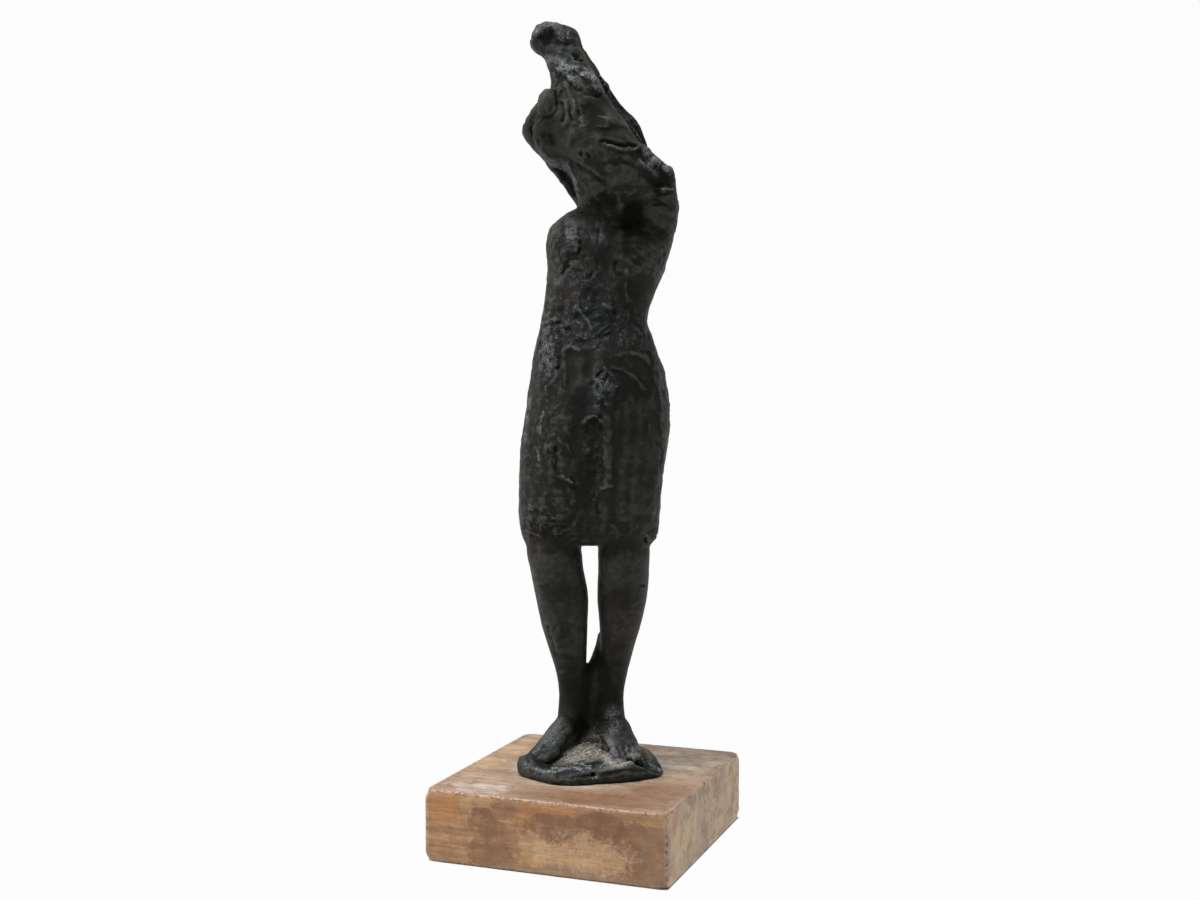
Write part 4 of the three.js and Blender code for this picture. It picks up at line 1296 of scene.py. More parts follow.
    def glints(self, bench: Bench, places: Socket, tone: Socket) -> Socket:
        """Lays painted highlights over a colour: bright sparkle on rough raised grain, and pale edges that
        are partly worn and dusty, partly painted highlight.

        Args:
            bench: The material's tree.
            places: Coordinates in millimetres.
            tone: The colour before.

        Returns:
            The colour after.
        """
        # Painted sparkle: bright flecks that stand in for highlights on small rough facets.
        sparkles = self.mottle.place(bench, places, self.sparkle_cloud)
        raised = bench.eased("relief", self.raised_sparkle)
        sparkles = bench.times(sparkles, bench.eased("rough", self.rough_sparkle), raised)
        tone = bench.mix(sparkles, tone, self.sparkle)
        # Pale edges: partly worn and dusty, partly painted highlight, and painted light lifting shaded
        # hollows.
        speckle = bench.between(self.mottle.place(bench, places, self.speckle_cloud), self.least_glint)
        raised = bench.eased("relief", self.raised_glint)
        return bench.mix(bench.times(bench.stored("pale"), speckle, raised), tone, self.highlight_and_wear)

    def crumbs(self, bench: Bench, places: Socket, grit: Socket) -> Socket:
        """Gives where dry soil has caked."""
        cake = bench.between(self.mottle.place(bench, places, self.cake_cloud), self.least_cake)
        return bench.times(bench.stored("soil"), bench.between(grit, self.least_crumbs), cake)

    def grain(self, bench: Bench, places: Socket, pits: Socket) -> Socket:
        """Raises the casting's fine grain and sinks its pits, more so where the clay was rough.

        Args:
            bench: The material's tree.
            places: Coordinates in millimetres.
            pits: The mask of the pits.

        Returns:
            The normal.
        """
        coarse = bench.cloud(places, *self.coarse_grain)
        both = bench.math("ADD", coarse, bench.cloud(places, *self.fine_grain))
        both = bench.math("SUBTRACT", both, bench.times(pits, self.pit_depth))
        height = bench.math("MULTIPLY", both, bench.eased("rough", self.grain_share))
        return bench.bump(height, 1.0, self.grain_depth)


class Face(Enum):
    """A face of the block: the axis that it looks along, and where it lies on it, in millimetres."""

    FRONT = (1, -60.0)
    TOP = (2, 34.0)
    RIGHT = (0, 60.0)
    LEFT = (0, -60.0)


@dataclass(frozen=True)
class Stain:
    """An oval stain on a face of the block, in millimetres, and how strongly it shows.

    It reaches as far into the wood as its depth, from a middle that its lift moves off the face.
    """

    face: Face
    centre: Place
    half: Place
    tint: Colour
    share: float
    ragged: float
    depth: float = 8.0
    lift: float = 0.0

    def inputs(self) -> dict[str, object]:
        """Works out what the spot group is given.

        Returns:
            The stain's middle and half size in all three directions, and how ragged it is.
        """
        axis, level = self.face.value
        centre, half = list(self.centre), list(self.half)
        centre.insert(axis, level + self.lift)
        half.insert(axis, self.depth)
        return {"Centre": centre, "Half Size": half, "Ragged": self.ragged}


class SpotGroup(MaskGroup):
    """An oval at a place, with a ragged edge."""

    wander: Spot = (0.09, 9.0, 0.76)
    edge: Band = (1.08, 0.86)

    def __init__(self) -> None:
        """Makes the node group."""
        super().__init__("ragged_spot", ("Places", "Centre", "Half Size"), {"Ragged": 9.0})

    def mask(self, bench: Bench, given: bpy.types.NodeOutputs) -> Socket:
        """Builds an oval in places that a cloud has bent.

        Args:
            bench: The group's tree.
            given: The group's inputs.

        Returns:
            The mask.
        """
        cloud = bench.cloud(given["Places"], *self.wander, "Color")
        level = bench.vector("SUBTRACT", cloud, (0.5, 0.5, 0.5))
        bent = bench.vector("ADD", given["Places"], bench.scaled(level, given["Ragged"]))
        offset = bench.vector("SUBTRACT", bent, given["Centre"])
        share = bench.vector("DIVIDE", offset, given["Half Size"])
        reach = bench.node("VectorMath", {0: share}, operation="LENGTH").outputs["Value"]
        return bench.ease(reach, *self.edge)

    def place(self, bench: Bench, places: Socket, stain: Stain) -> Socket:
        """Adds the group to a material and gives a stain's mask."""
        return bench.group(self.tree, {"Places": places} | stain.inputs())


UMBER = colour(0.192, 0.084, 0.034)
RUSSET = colour(0.245, 0.112, 0.052)
ORANGE = colour(0.560, 0.230, 0.060)
BEIGE = colour(0.670, 0.425, 0.215)
DRAB = colour(0.290, 0.190, 0.110)
SAGE = colour(0.480, 0.385, 0.240)
# Pale chalky tone, also used for painted sheen on the top
CHALK_AND_SHEEN = colour(0.700, 0.610, 0.510)

DRY_FIELD = Stain(Face.FRONT, (20.0, 11.0), (28.0, 12.0), colour(0.56, 0.42, 0.30), 0.42, 30.0)
STAINS = (
    # The front: amber at the left, merging brown stains, an orange streak, and pale worn fields
    Stain(Face.FRONT, (-52.0, 24.0), (9.0, 9.0), ORANGE, 0.6, 28.0),
    Stain(Face.FRONT, (-34.0, 29.0), (9.0, 4.0), BEIGE, 0.5, 26.0),
    Stain(Face.FRONT, (-6.0, 12.0), (9.0, 12.0), BEIGE, 0.65, 26.0),
    Stain(Face.FRONT, (-8.0, 4.0), (7.0, 4.0), ORANGE, 0.45, 20.0),
    Stain(Face.FRONT, (22.0, 10.0), (19.0, 8.0), BEIGE, 0.42, 34.0),
    Stain(Face.FRONT, (-46.0, 31.0), (6.0, 3.0), ORANGE, 0.6, 16.0),
    Stain(Face.FRONT, (-20.0, 28.0), (6.0, 4.5), RUSSET, 0.6, 20.0),
    Stain(Face.FRONT, (-9.0, 25.0), (5.0, 5.0), ORANGE, 0.45, 18.0),
    Stain(Face.FRONT, (-29.0, 20.5), (8.5, 6.0), UMBER, 0.8, 24.0),
    Stain(Face.FRONT, (-25.0, 7.0), (14.0, 9.0), UMBER, 0.75, 28.0),
    Stain(Face.FRONT, (-17.0, 16.0), (7.0, 6.0), RUSSET, 0.6, 26.0),
    Stain(Face.FRONT, (5.0, 22.0), (16.0, 7.0), UMBER, 0.85, 24.0),
    Stain(Face.FRONT, (29.0, 26.0), (12.0, 6.5), UMBER, 0.95, 22.0),
    Stain(Face.FRONT, (47.0, 20.0), (15.0, 9.0), UMBER, 0.85, 24.0),
    Stain(Face.FRONT, (50.0, 6.0), (11.0, 7.0), UMBER, 0.75, 24.0),
    Stain(Face.FRONT, (55.0, 14.0), (8.0, 18.0), DRAB, 0.6, 22.0),
    Stain(Face.FRONT, (8.0, 2.0), (40.0, 2.8), DRAB, 0.7, 18.0),
    Stain(Face.FRONT, (4.0, 30.4), (17.0, 2.0), ORANGE, 0.62, 7.0),
    Stain(Face.FRONT, (54.0, 14.0), (3.0, 6.0), ORANGE, 0.2, 12.0),
    # The top: red-brown before the plinth, pale at the left corner as painted sheen, grey-green at the
    # right
    Stain(Face.TOP, (20.0, -47.0), (42.0, 10.0), RUSSET, 0.85, 34.0),
    # Painted sheen: the pale left part of the top and its left front corner
    Stain(Face.TOP, (-20.0, -30.0), (34.0, 20.0), CHALK_AND_SHEEN, 0.2, 36.0),
    Stain(Face.TOP, (-38.0, -48.0), (24.0, 14.0), CHALK_AND_SHEEN, 0.8, 30.0, 13.0, 10.0),
    Stain(Face.TOP, (-52.0, 10.0), (7.0, 50.0), BEIGE, 0.5, 24.0),
    Stain(Face.TOP, (-0.5, -1.0), (38.5, 36.0), CHALK_AND_SHEEN, 0.5, 7.0, 4.0),
    Stain(Face.TOP, (44.0, 26.0), (14.0, 26.0), SAGE, 0.6, 30.0),
    Stain(Face.TOP, (38.0, 38.0), (26.0, 20.0), CHALK_AND_SHEEN, 0.7, 28.0),
    Stain(Face.TOP, (36.0, 42.0), (26.0, 14.0), BEIGE, 0.5, 22.0, lift=4.0),
    Stain(Face.TOP, (47.0, -24.0), (15.0, 16.0), RUSSET, 0.85, 26.0),
    Stain(Face.TOP, (46.0, -26.0), (17.0, 13.0), UMBER, 0.4, 26.0),
    # The right side: orange at its upper front, dark low down at the back
    Stain(Face.RIGHT, (-48.0, 28.0), (10.0, 6.0), ORANGE, 0.35, 20.0),
    Stain(Face.RIGHT, (-20.0, 6.0), (30.0, 6.0), DRAB, 0.45, 26.0),
    Stain(Face.RIGHT, (30.0, 28.0), (20.0, 6.0), RUSSET, 0.3, 26.0),
    # The left side: dull in the middle
    Stain(Face.LEFT, (-8.0, 14.0), (34.0, 11.0), DRAB, 0.5, 28.0),
    Stain(Face.LEFT, (30.0, 22.0), (22.0, 8.0), UMBER, 0.4, 28.0),
)


@dataclass(frozen=True)
class WoodFinish:
    """Worn brown wood with its grain along the block's front, stained and rubbed pale at its edges, with
    painted sheen on its upper face and painted shadow along its foot.
    """

    mottle: MottleGroup
    spot: SpotGroup
    pale: Colour = colour(0.55, 0.312, 0.142)
    brown: Colour = colour(0.33, 0.165, 0.074)
    dark: Colour = colour(0.14, 0.074, 0.040)
    tan: Colour = colour(0.330, 0.238, 0.165)
    olive: Colour = colour(0.66, 0.455, 0.205)
    rubbed: Colour = colour(0.62, 0.49, 0.39)
    # The grain, drawn out along the block's front
    drawn: Spot = (0.06, 1.0, 1.0)
    streak_cloud: Cloud = Cloud(4.5, 0.32, 0.68, 0.7)
    fibre_cloud: Cloud = Cloud(0.8, 0.3, 0.7, 0.7)
    fibre_share: float = 0.36
    # The year rings round the pith, which wander by a cloud: its scale, detail and roughness
    pith: Spot = (0.0, 70.0, -150.0)
    ring_plane: Spot = (0.0, 1.0, 1.0)
    ring_drawn: Spot = (0.12, 1.0, 1.0)
    ring_cloud: Spot = (0.035, 2.0, 0.5)
    ring_wander: float = 26.0
    ring_scale: float = 0.055
    ring_distortion: float = 1.5
    ring_detail: float = 2.0
    ring_band: Band = (0.35, 1.0)
    ring_share: float = 0.22
    # The upper face, made lighter tan as painted sheen, and the cut ends
    facing: Band = (0.6, 0.9)
    top_sheen_share: float = 0.7
    end_share: float = 0.85
    end_drawn: Spot = (1.0, 1.0, 0.4)
    end_cloud: Cloud = Cloud(11.0, 0.3, 0.7, 0.6)
    least_olive: float = 0.3
    top_drawn: Spot = (0.07, 1.0, 1.0)
    top_cloud: Cloud = Cloud(8.0, 0.46, 0.60, 0.8)
    top_share: float = 0.42
    # Stains, blotches and the dry field
    patch_cloud: Cloud = Cloud(6.0, 0.36, 0.62, 0.75)
    least_stain: float = 0.6
    blotch_cloud: Cloud = Cloud(7.0, 0.46, 0.62, 0.75)
    blotch_share: float = 0.3
    crackle_cloud: Cloud = Cloud(2.6, 0.46, 0.62, 0.85)
    # Rubbed and bitten edges, and the painted shadow along the foot
    scuff_cloud: Cloud = Cloud(1.6, 0.45, 0.57, 0.8)
    least_scuff: float = 0.05
    rubbed_share: float = 0.78
    bite_cloud: Cloud = Cloud(1.8, 0.52, 0.57, 0.7)
    bite_runs: Cloud = Cloud(12.0, 0.44, 0.56)
    bitten: Ramp = (0.1, 0.45, 0.0, 0.75)
    foot_shadow: Ramp = (1.6, 0.3, 0.0, 0.75)
    # How it takes the light
    roughness: Band = (0.40, 0.58)
    bump_strength: float = 0.5
    bump_depth: float = 0.12

    def make(self) -> bpy.types.Material:
        """Builds the material.

        Returns:
            The worn wood.
        """
        material, bench, shader = new_material("worn_wood")
        places, drawn = bench.places(), bench.places(self.drawn)
        fibres = self.mottle.place(bench, drawn, self.fibre_cloud)
        blotches = self.mottle.place(bench, places, self.blotch_cloud)
        crackle = self.mottle.place(bench, places, self.crackle_cloud)
        tone = bench.mix(self.mottle.place(bench, drawn, self.streak_cloud), self.brown, self.pale)
        tone = bench.mix(bench.times(self.rings(bench), self.ring_share), tone, self.dark)
        tone = self.stained(bench, places, self.faces(bench, tone))
        tone = bench.mix(bench.between(fibres, 0.0, self.fibre_share), tone, self.dark)
        tone = self.top_streaks(bench, tone)
        tone = bench.mix(bench.times(blotches, self.blotch_share), tone, UMBER)
        dry = bench.times(crackle, self.spot.place(bench, places, DRY_FIELD), DRY_FIELD.share)
        tone = bench.mix(dry, tone, DRY_FIELD.tint)
        tone = self.edges(bench, places, tone)
        roughness = bench.between(blotches, *self.roughness)
        normal = bench.bump(bench.math("ADD", fibres, crackle), self.bump_strength, self.bump_depth)
        bench.join(shader, {"Base Color": tone, "Roughness": roughness, "Normal": normal})
        return material

    def rings(self, bench: Bench) -> Socket:
        """Draws the year rings round the pith, which runs along the block's front.

        Args:
            bench: The material's tree.

        Returns:
            The mask of their dark bands.
        """
        wander = bench.cloud(bench.places(self.ring_drawn), *self.ring_cloud, "Color")
        moved = bench.scaled(wander, self.ring_wander)
        bent = bench.vector("ADD", bench.places(self.ring_plane), moved)
        inputs = {"Vector": bench.vector("SUBTRACT", bent, self.pith), "Scale": self.ring_scale}
        inputs |= {"Distortion": self.ring_distortion, "Detail": self.ring_detail}
        wave = bench.node("TexWave", inputs, wave_type="RINGS", rings_direction="X")
        return bench.ease(wave.outputs["Fac"], *self.ring_band)

    def faces(self, bench: Bench, tone: Socket) -> Socket:
        """Paints the upper face lighter tan, as painted sheen, and turns the cut ends olive.

        Args:
            bench: The material's tree.
            tone: The colour before.

        Returns:
            The colour after.
        """
        # Painted sheen: the upper face lighter tan.
        tone = bench.mix(bench.ease(bench.faced("Z"), *self.facing, 0.0, self.top_sheen_share), tone, self.tan)
        cut = self.mottle.place(bench, bench.places(self.end_drawn), self.end_cloud)
        end = bench.mix(bench.between(cut, self.least_olive), self.tan, self.olive)
        side = bench.math("ABSOLUTE", bench.faced("X"))
        return bench.mix(bench.ease(side, *self.facing, 0.0, self.end_share), tone, end)

    def stained(self, bench: Bench, places: Socket, tone: Socket) -> Socket:
        """Lays the stains over a colour, in patches.

        Args:
            bench: The material's tree.
            places: Coordinates in millimetres.
            tone: The colour before.

        Returns:
            The colour after.
        """
        patchy = bench.between(self.mottle.place(bench, places, self.patch_cloud), self.least_stain)
        for stain in STAINS:
            mask = bench.times(self.spot.place(bench, places, stain), patchy, stain.share)
            tone = bench.mix(mask, tone, stain.tint)
        return tone

    def top_streaks(self, bench: Bench, tone: Socket) -> Socket:
        """Draws dark streaks along the grain of the upper face.

        Args:
            bench: The material's tree.
            tone: The colour before.

        Returns:
            The colour after.
        """
        upper = bench.ease(bench.faced("Z"), *self.facing, 0.0, self.top_share)
        streaks = self.mottle.place(bench, bench.places(self.top_drawn), self.top_cloud)
        return bench.mix(bench.times(upper, streaks), tone, self.dark)

    def edges(self, bench: Bench, places: Socket, tone: Socket) -> Socket:
        """Rubs the edges pale in patches and bites into them, and paints shadow along the foot of the
        block.

        Args:
            bench: The material's tree.
            places: Coordinates in millimetres.
            tone: The colour before.

        Returns:
            The colour after.
        """
        edge = bench.stored("edge")
        scuff = bench.between(self.mottle.place(bench, places, self.scuff_cloud), self.least_scuff)
        tone = bench.mix(bench.times(edge, scuff, self.rubbed_share), tone, self.rubbed)
        bites = (self.mottle.place(bench, places, cloud) for cloud in (self.bite_cloud, self.bite_runs))
        tone = bench.mix(bench.ease(bench.times(edge, *bites), *self.bitten), tone, self.dark)
        # Painted shadow: darker towards the foot of the block.
        return bench.mix(bench.ease(bench.part(places, "Z"), *self.foot_shadow), tone, self.dark)


# The two pieces


def put_in_scene(name: str, data: bpy.types.ID) -> bpy.types.Object:
    """Makes an object and links it to the scene.

    Args:
        name: The object's name.
        data: Its mesh, lamp or camera.

    Returns:
        The object.
    """
    piece = bpy.data.objects.new(name, data)
    bpy.context.scene.collection.objects.link(piece)
    return piece


def applied(piece: bpy.types.Object) -> None:
    """Applies all of a piece's modifiers to its mesh.

    Args:
        piece: The piece.
    """
    bpy.context.view_layer.update()
    graph = bpy.context.evaluated_depsgraph_get()
    finished = bpy.data.meshes.new_from_object(piece.evaluated_get(graph))
    rough = piece.data
    piece.modifiers.clear()
    piece.data = finished
    bpy.data.meshes.remove(rough)


@dataclass(frozen=True)
class Hem:
    """The front of the dress's hem, where the clay was smoothed over into the knees."""

    rising: Band = (136.0, 143.0)
    falling: Band = (158.0, 150.0)
    facing: Band = (0.2, 0.7)
    depth: Band = (0.0, -5.0)
    rounds: int = 90
    facing_rounds: int = 8

    def soften(self, clay: Clay) -> None:
        """Lets the dress run into the knees.

        Args:
            clay: The figure.
        """
        height, depth = clay.points[:, 2], clay.points[:, 1]
        level = smoothstep(*self.rising, height) * smoothstep(*self.falling, height)
        forward = -clay.normals(self.facing_rounds)[:, 1]
        front = smoothstep(*self.facing, forward) * smoothstep(*self.depth, depth)
        eased = clay.smoothed(clay.points, self.rounds)
        clay.points += (level * front)[:, None] * (eased - clay.points)


@dataclass(frozen=True)
class Texture:
    """How rough the clay was left, where 1 is the plain dress."""

    legs: float = 0.22
    dress: float = 0.58
    hem: Band = (140.0, 156.0)
    plinth: float = 0.35
    ankles: Band = (60.0, 46.0)
    facing: Band = (-0.8, 0.1)
    facing_rounds: int = 4
    rounds: int = 6
    limits: Band = (0.1, 2.2)

    def at(self, clay: Clay) -> np.ndarray:
        """Gives how rough the clay is.

        Args:
            clay: The figure.

        Returns:
            The roughness at each point.
        """
        points, normals = clay.points, clay.normals(self.facing_rounds)
        rough = self.legs + self.dress * smoothstep(*self.hem, points[:, 2])
        rough += self.plinth * smoothstep(*self.ankles, points[:, 2])
        for sight, patches in ((FRONT, ROUGH_FRONT), (BACK, ROUGH_BACK)):
            rough += total(patches, sight.seen(points)) * sight.facing(points, normals, *self.facing)
        return np.clip(clay.smoothed(rough, self.rounds), *self.limits)


@dataclass(frozen=True)
class Wear:
    """What the finish reads from the mesh: relief, roughness, dust, soil and tints, with painted highlight
    and painted shade among them.
    """

    ground: Ground = Ground()
    fine_rounds: int = 10
    broad_rounds: int = 60
    level: float = 0.5
    fine_share: float = 1.5
    broad_share: float = 0.3
    dusty_slope: Band = (0.15, 0.9)
    dusty_texture: Band = (0.5, 1.6)
    dusty_height: Band = (45.0, 60.0)
    dust: float = 0.55
    soil_slope: Band = (0.6, 0.9)
    soil_height: Band = (52.0, 47.0)
    soil_across: Band = (24.0, 19.0)
    right_soil: float = 0.2
    facing: Band = (-0.05, 0.25)
    facing_rounds: int = 4

    def note(self, clay: Clay, roughness: np.ndarray) -> None:
        """Stores what the finish reads for each point of the mesh.

        Args:
            clay: The finished mesh.
            roughness: How rough the clay is at each point.
        """
        points, normals = clay.points, clay.normals(1)
        fine = np.einsum("ij,ij->i", points - clay.smoothed(points, self.fine_rounds), normals)
        broad = np.einsum("ij,ij->i", points - clay.smoothed(points, self.broad_rounds), normals)
        relief = self.level + self.fine_share * clay.smoothed(fine, 1) + self.broad_share * broad
        facing = FRONT.facing(points, clay.normals(self.facing_rounds), *self.facing)
        strayed = FRONT.strayed(points)
        soil = self.plain_soil(points, normals[:, 2]) + total(SOIL_FRONT, strayed) * facing
        dust = self.plain_dust(points[:, 2], normals[:, 2], roughness)
        notes = {"relief": relief, "rough": roughness, "dust": dust, "soil": soil}
        # Bluish tint with painted sheen, reddish tint, pale wear with painted highlight, and painted shade.
        tints_and_light = {"chill_and_sheen": COOL_TINT_AND_SHEEN_FRONT, "warmth": WARM_FRONT, "pale": PALE_WEAR_AND_HIGHLIGHT_FRONT, "shade": SHADE_FRONT}
        for name, patches in tints_and_light.items():
            notes[name] = total(patches, strayed) * facing
        for name, values in notes.items():
            store(clay.mesh, name, values if name == "rough" else np.clip(values, 0.0, 1.0))

    def plain_dust(self, height: np.ndarray, upward: np.ndarray, roughness: np.ndarray) -> np.ndarray:
        """Gives the dust that has settled on rough clay that faces up."""
        settled = smoothstep(*self.dusty_slope, upward) * smoothstep(*self.dusty_texture, roughness)
        return self.dust * (settled * smoothstep(*self.dusty_height, height))

    def plain_soil(self, points: np.ndarray, upward: np.ndarray) -> np.ndarray:
        """Gives the soil on the plinth's top, which is thin at its right.

        Args:
            points: Places in the figure's frame, in millimetres.
            upward: How squarely each one faces up.

        Returns:
            The soil at each point, from 0 to 1.
        """
        soil = smoothstep(*self.soil_slope, upward) * smoothstep(*self.soil_height, points[:, 2])
        soil *= self.ground.bare(points)
        across = smoothstep(*self.soil_across, points[:, 0])
        return soil * (self.right_soil + (1.0 - self.right_soil) * across)


@dataclass
class BronzeFigure:
    """The cast figure: a fine remesh of the solid that the marks of modelling are worked into."""

    finish: BronzeFinish
    stand: Stand = Stand()
    hem: Hem = Hem()
    texture: Texture = Texture()
    surface: Wear = Wear()
    seam: float = 0.001
    voxel: float = 0.68
    ease_rounds: int = 45
    # Facets are eased less on the toes and on the plinth's rim, by this share under this height
    crisp_height: Band = (52.0, 47.0)
    crisp_share: float = 0.8
    broad_pads: Pellets = Pellets(420, (5.0, 11.0), (3.0, 6.0), (-0.65, 0.5), 3, 0.6)
    small_pads: Pellets = Pellets(2000, (1.8, 5.0), (1.0, 2.3), (-0.42, 0.5), 8)
    hills: tuple[Place, ...] = ((11.0, 0.45), (5.0, 0.25))
    grit: tuple[Place, ...] = ((2.8, 0.26), (1.6, 0.2))
    last_ease: float = 0.2
    triangles: int = 190_000

    def build(self) -> bpy.types.Object:
        """Builds and dresses the piece.

        Returns:
            The finished object.
        """
        piece = put_in_scene("bronze_figure", self.copied())
        remesh = piece.modifiers.new("fine", "REMESH")
        remesh.mode = "VOXEL"
        remesh.voxel_size = self.voxel * MM
        applied(piece)
        log.info("remeshed to %d faces", len(piece.data.polygons))
        clay = Clay(piece.data, self.stand)
        self.model(clay)
        thin = piece.modifiers.new("thin", "DECIMATE")
        thin.ratio = self.triangles / len(clay.triangles)
        applied(piece)
        thinned = Clay(piece.data, self.stand)
        self.surface.note(thinned, self.texture.at(thinned))
        piece.data.shade_smooth()
        piece.data.materials.clear()
        piece.data.materials.append(self.finish.make())
        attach(piece, "root")
        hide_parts("figure")
        return piece

    def copied(self) -> bpy.types.Mesh:
        """Copies the solid's mesh and closes its seams.

        Returns:
            The new mesh.
        """
        shape = bmesh.new()
        shape.from_mesh(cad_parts["figure"].data)
        bmesh.ops.remove_doubles(shape, verts=shape.verts, dist=self.seam * MM)
        mesh = bpy.data.meshes.new("bronze_figure")
        shape.to_mesh(mesh)
        shape.free()
        return mesh

    def model(self, clay: Clay) -> None:
        """Smooths the solid's facets away and works the marks of modelling into the clay.

        Args:
            clay: The finely remeshed solid.
        """
        low = smoothstep(*self.crisp_height, clay.points[:, 2])
        clay.ease(self.ease_rounds, 1.0 - self.crisp_share * low)
        self.hem.soften(clay)
        clay.carve(FRONT, FRONT_MARKS)
        clay.carve(BACK, BACK_MARKS)
        roughness = self.texture.at(clay)
        plain = np.minimum(roughness, 1.0)
        self.broad_pads.lay(clay, plain)
        self.small_pads.lay(clay, roughness)
        rise = sum(height * hill_noise(clay.points, size, size) for size, height in self.hills)
        fine = sum(height * hill_noise(clay.points, size, size) for size, height in self.grit)
        clay.push(rise * plain + fine * roughness)
        clay.points = clay.smoothed(clay.points, 1, self.last_ease)
        clay.write()


@dataclass
class WoodenBlock:
    """The square block, with rounded edges that wear has chipped. Sizes are in millimetres."""

    finish: WoodFinish
    edge: float = 0.9
    edge_segments: int = 3
    # Long edges are cut into steps, so that wear can bend them
    step: float = 1.3
    long_steps: float = 4.0
    along: float = 0.99
    # How deep dents and chips go, and the size of the noise that places them
    dent: float = 0.175
    dent_size: float = 5.0
    chip: float = 1.1
    chip_size: float = 2.1
    chip_from: float = 0.25
    chip_shift: Spot = (7.0, 3.0, 1.0)
    wear_width: float = 1.8
    corner_width: float = 4.0
    corner_depth: float = 2.0

    def build(self) -> bpy.types.Object:
        """Builds and dresses the piece.

        Returns:
            The finished object.
        """
        low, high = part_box("wooden_block")
        shape = bmesh.new()
        bmesh.ops.create_cube(shape, size=1.0)
        bmesh.ops.scale(shape, vec=high - low, verts=shape.verts)
        bmesh.ops.translate(shape, vec=(low + high) / 2.0, verts=shape.verts)
        bmesh.ops.bevel(
            shape,
            geom=shape.edges[:],
            offset=self.edge * MM,
            segments=self.edge_segments,
            profile=0.5,
            affect="EDGES",
            material=-1,
        )
        for axis in range(3):
            self.cut_across(shape, axis)
        self.wear(shape, low, high)
        bmesh.ops.recalc_face_normals(shape, faces=shape.faces)
        mesh = bpy.data.meshes.new("wooden_block_worn")
        shape.to_mesh(mesh)
        shape.free()
        mesh.shade_smooth()
        mesh.materials.append(self.finish.make())
        self.note_edges(mesh, low, high)
        piece = put_in_scene("wooden_block_worn", mesh)
        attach(piece, "root")
        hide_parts("wooden_block")
        return piece

    def cut_across(self, shape: bmesh.types.BMesh, axis: int) -> None:
        """Cuts all long edges that run along an axis into steps.

        Args:
            shape: The block.
            axis: The axis's number.
        """
        long_edges = []
        for edge in shape.edges:
            run = edge.verts[1].co - edge.verts[0].co
            if abs(run[axis]) > self.along * run.length and run.length > self.long_steps * self.step * MM:
                long_edges.append(edge)
        length = max(edge.calc_length() for edge in long_edges)
        cuts = round(length / (self.step * MM)) - 1
        bmesh.ops.subdivide_edges(shape, edges=long_edges, cuts=cuts, use_grid_fill=True)

    def gaps(self, place: Vector, low: Vector, high: Vector) -> list[float]:
        """Gives how far a place is from the nearer face along each axis, in millimetres."""
        return [min(place[axis] - low[axis], high[axis] - place[axis]) / MM for axis in range(3)]

    def edge_nearness(self, place: Vector, low: Vector, high: Vector) -> float:
        """Gives how near a place is to an edge of the block, from 0 to 1."""
        nearest, second, _ = sorted(self.gaps(place, low, high))
        return max(0.0, 1.0 - math.hypot(nearest, second) / self.wear_width)

    def corner_nearness(self, place: Vector, low: Vector, high: Vector) -> float:
        """Gives how near a place is to a corner of the block, from 0 to 1."""
        gaps = self.gaps(place, low, high)
        return math.prod(max(0.0, 1.0 - gap / self.corner_width) for gap in gaps)

    def wear(self, shape: bmesh.types.BMesh, low: Vector, high: Vector) -> None:
        """Pushes the edges in unevenly, and takes chips out of them.

        Args:
            shape: The block.
            low: Its lowest corner.
            high: Its highest corner.
        """
        middle = (low + high) / 2.0
        for vertex in shape.verts:
            near = self.edge_nearness(vertex.co, low, high)
            place = vertex.co / MM
            dents = 0.5 + 0.5 * noise.noise(place / self.dent_size)
            chips = noise.noise(place / self.chip_size + Vector(self.chip_shift)) - self.chip_from
            inward = (middle - vertex.co).normalized()
            depth = near * (self.dent * dents + self.chip * max(0.0, chips))
            depth += self.corner_depth * self.corner_nearness(vertex.co, low, high)
            vertex.co += inward * depth * MM

    def note_edges(self, mesh: bpy.types.Mesh, low: Vector, high: Vector) -> None:
        """Stores how near each point is to an edge, for the rubbed finish."""
        store(mesh, "edge", [self.edge_nearness(vertex.co, low, high) for vertex in mesh.vertices])


# The studio


@dataclass(frozen=True)
class SoftLight:
    """A large soft lamp that points at the figure."""

    name: str
    place: Spot
    size: float
    power: float

    def build(self, target: Vector) -> None:
        """Builds the lamp.

        Args:
            target: What it points at.
        """
        data = bpy.data.lights.new(self.name, "AREA")
        data.shape = "DISK"
        data.size = self.size
        data.energy = self.power
        lamp = put_in_scene(self.name, data)
        lamp.location = self.place
        lamp.rotation_euler = (target - Vector(self.place)).to_track_quat("-Z", "Y").to_euler()


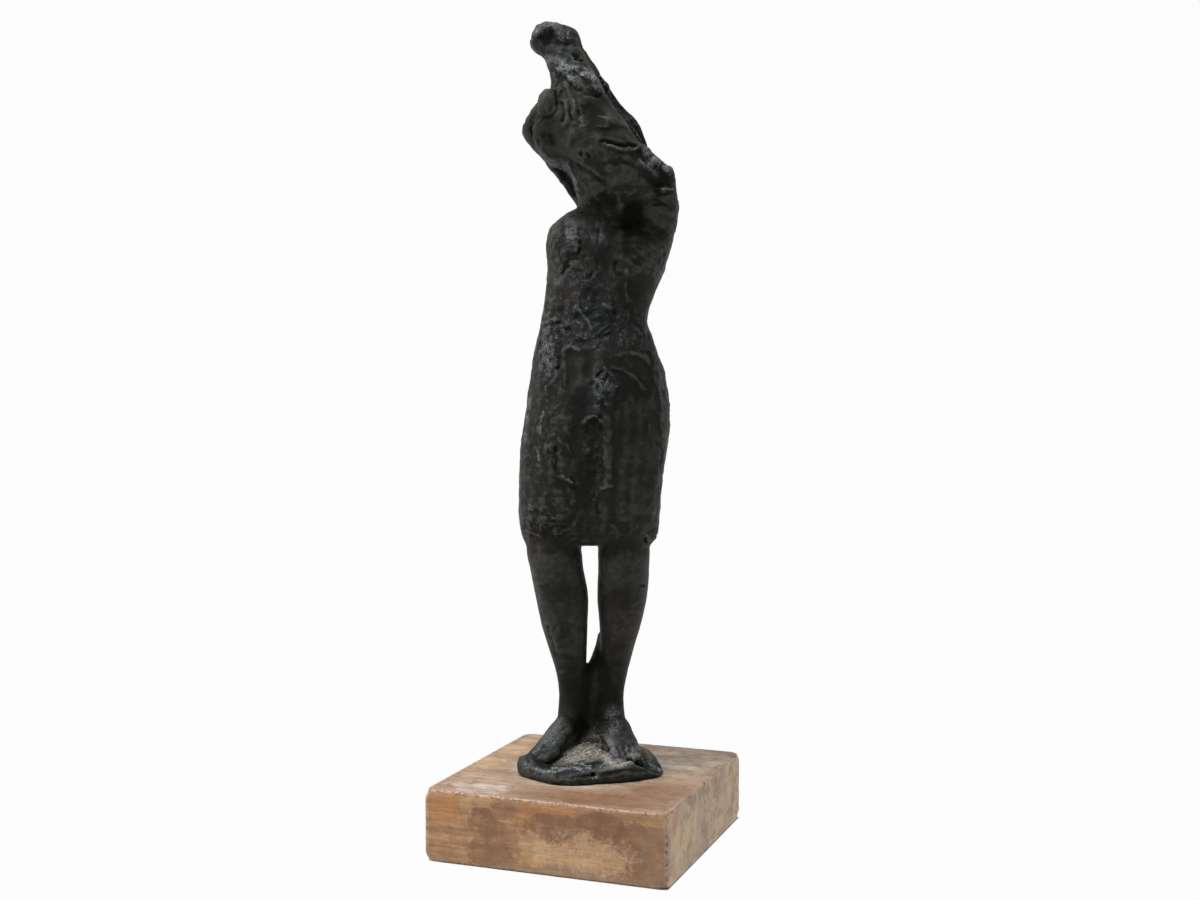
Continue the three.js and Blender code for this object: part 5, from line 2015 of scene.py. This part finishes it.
@dataclass(frozen=True)
class Studio:
    """A white floor and surround, soft lamps, and the camera. Lengths are in metres."""

    azimuth: float = 20.63
    elevation: float = 2.71
    distance: float = 0.7407
    target: Spot = (0.001609, 0.010285, 0.191376)
    lens: float = 44.97
    sensor: float = 36.0
    nearest: float = 0.01
    # Under the block the floor is plain, and round the block it glows as white as the surround
    floor_half: float = 4.0
    floor_white: float = 0.80
    floor_roughness: float = 0.9
    fade: Band = (0.0597, 0.0601)
    glow: float = 0.98
    # The surround lights less from one side
    surround: float = 1.0
    dim_side: float = 45.0
    dim_band: Band = (-0.2, 0.8)
    side_light: float = 0.68
    dim_light: float = 0.105
    lamps: tuple[SoftLight, ...] = (
        SoftLight("overhead_lamp", (-0.25, -0.3, 1.3), 0.45, 15.0),
        SoftLight("left_lamp", (-1.2, -0.5, 0.8), 0.35, 9.0),
        SoftLight("right_lamp", (1.2, 0.2, 0.6), 0.6, 0.8),
    )

    def build(self) -> None:
        """Builds the floor, the surround, the lamps and the camera."""
        self.make_floor()
        self.make_surround()
        for lamp in self.lamps:
            lamp.build(Vector(self.target))
        self.make_camera()
        bpy.context.scene.view_settings.view_transform = "Standard"

    def make_camera(self) -> None:
        """Makes the camera at the angle and distance of the picture."""
        azimuth, elevation = math.radians(self.azimuth), math.radians(self.elevation)
        across, forward = math.sin(azimuth), -math.cos(azimuth)
        level = math.cos(elevation)
        away = Vector((across * level, forward * level, math.sin(elevation)))
        data = bpy.data.cameras.new("camera")
        data.lens = self.lens
        data.sensor_width = self.sensor
        data.clip_start = self.nearest
        camera = put_in_scene("camera", data)
        camera.location = Vector(self.target) + away * self.distance
        camera.rotation_euler = away.to_track_quat("Z", "Y").to_euler()
        bpy.context.scene.camera = camera

    def make_floor(self) -> None:
        """Makes the plain floor that the block stands on."""
        shape = bmesh.new()
        bmesh.ops.create_grid(shape, x_segments=1, y_segments=1, size=self.floor_half)
        mesh = bpy.data.meshes.new("floor")
        shape.to_mesh(mesh)
        shape.free()
        material, bench, shader = new_material("pale_floor")
        own = bench.node("TexCoord").outputs["Object"]
        spread = bench.node("VectorMath", {0: own}, operation="ABSOLUTE").outputs["Vector"]
        away = bench.math("MAXIMUM", bench.part(spread, "X"), bench.part(spread, "Y"))
        fade = bench.ease(away, *self.fade)
        black = grey(0.0)
        surface = {
            "Base Color": bench.mix(fade, grey(self.floor_white), black),
            "Emission Color": bench.mix(fade, black, grey(self.glow)),
            "Emission Strength": 1.0,
            "Specular IOR Level": 0.0,
            "Roughness": self.floor_roughness,
        }
        bench.join(shader, surface)
        mesh.materials.append(material)
        put_in_scene("floor", mesh)

    def make_surround(self) -> None:
        """Makes the white surround, dimmer before the figure and to its left."""
        world = bpy.data.worlds.new("surround")
        world.use_nodes = True
        world.node_tree.nodes.clear()
        bench = Bench(world.node_tree)
        azimuth = math.radians(self.dim_side)
        direction = bench.node("TexCoord").outputs["Generated"]
        towards = (math.sin(azimuth), -math.cos(azimuth), 0.0)
        side = bench.node("VectorMath", {0: direction, 1: towards}, operation="DOT_PRODUCT")
        light = bench.ease(side.outputs["Value"], *self.dim_band, self.side_light, self.dim_light)
        lit = bench.node("Background", {"Color": grey(1.0), "Strength": light})
        white = bench.node("Background", {"Color": grey(self.glow), "Strength": self.surround})
        camera_ray = bench.node("LightPath").outputs["Is Camera Ray"]
        shader = bench.node("MixShader", {0: camera_ray, 1: lit.outputs[0], 2: white.outputs[0]})
        bench.node("OutputWorld", {"Surface": shader.outputs[0]})
        bpy.context.scene.world = world


def main() -> None:
    """Builds the studio and both pieces, and reports each."""
    Studio().build()
    mottle = MottleGroup()
    for builder in (WoodenBlock(WoodFinish(mottle, SpotGroup())), BronzeFigure(BronzeFinish(mottle))):
        piece = builder.build()
        log.info("%s: %d faces", piece.name, len(piece.data.polygons))


if __name__ == "__main__":
    main()
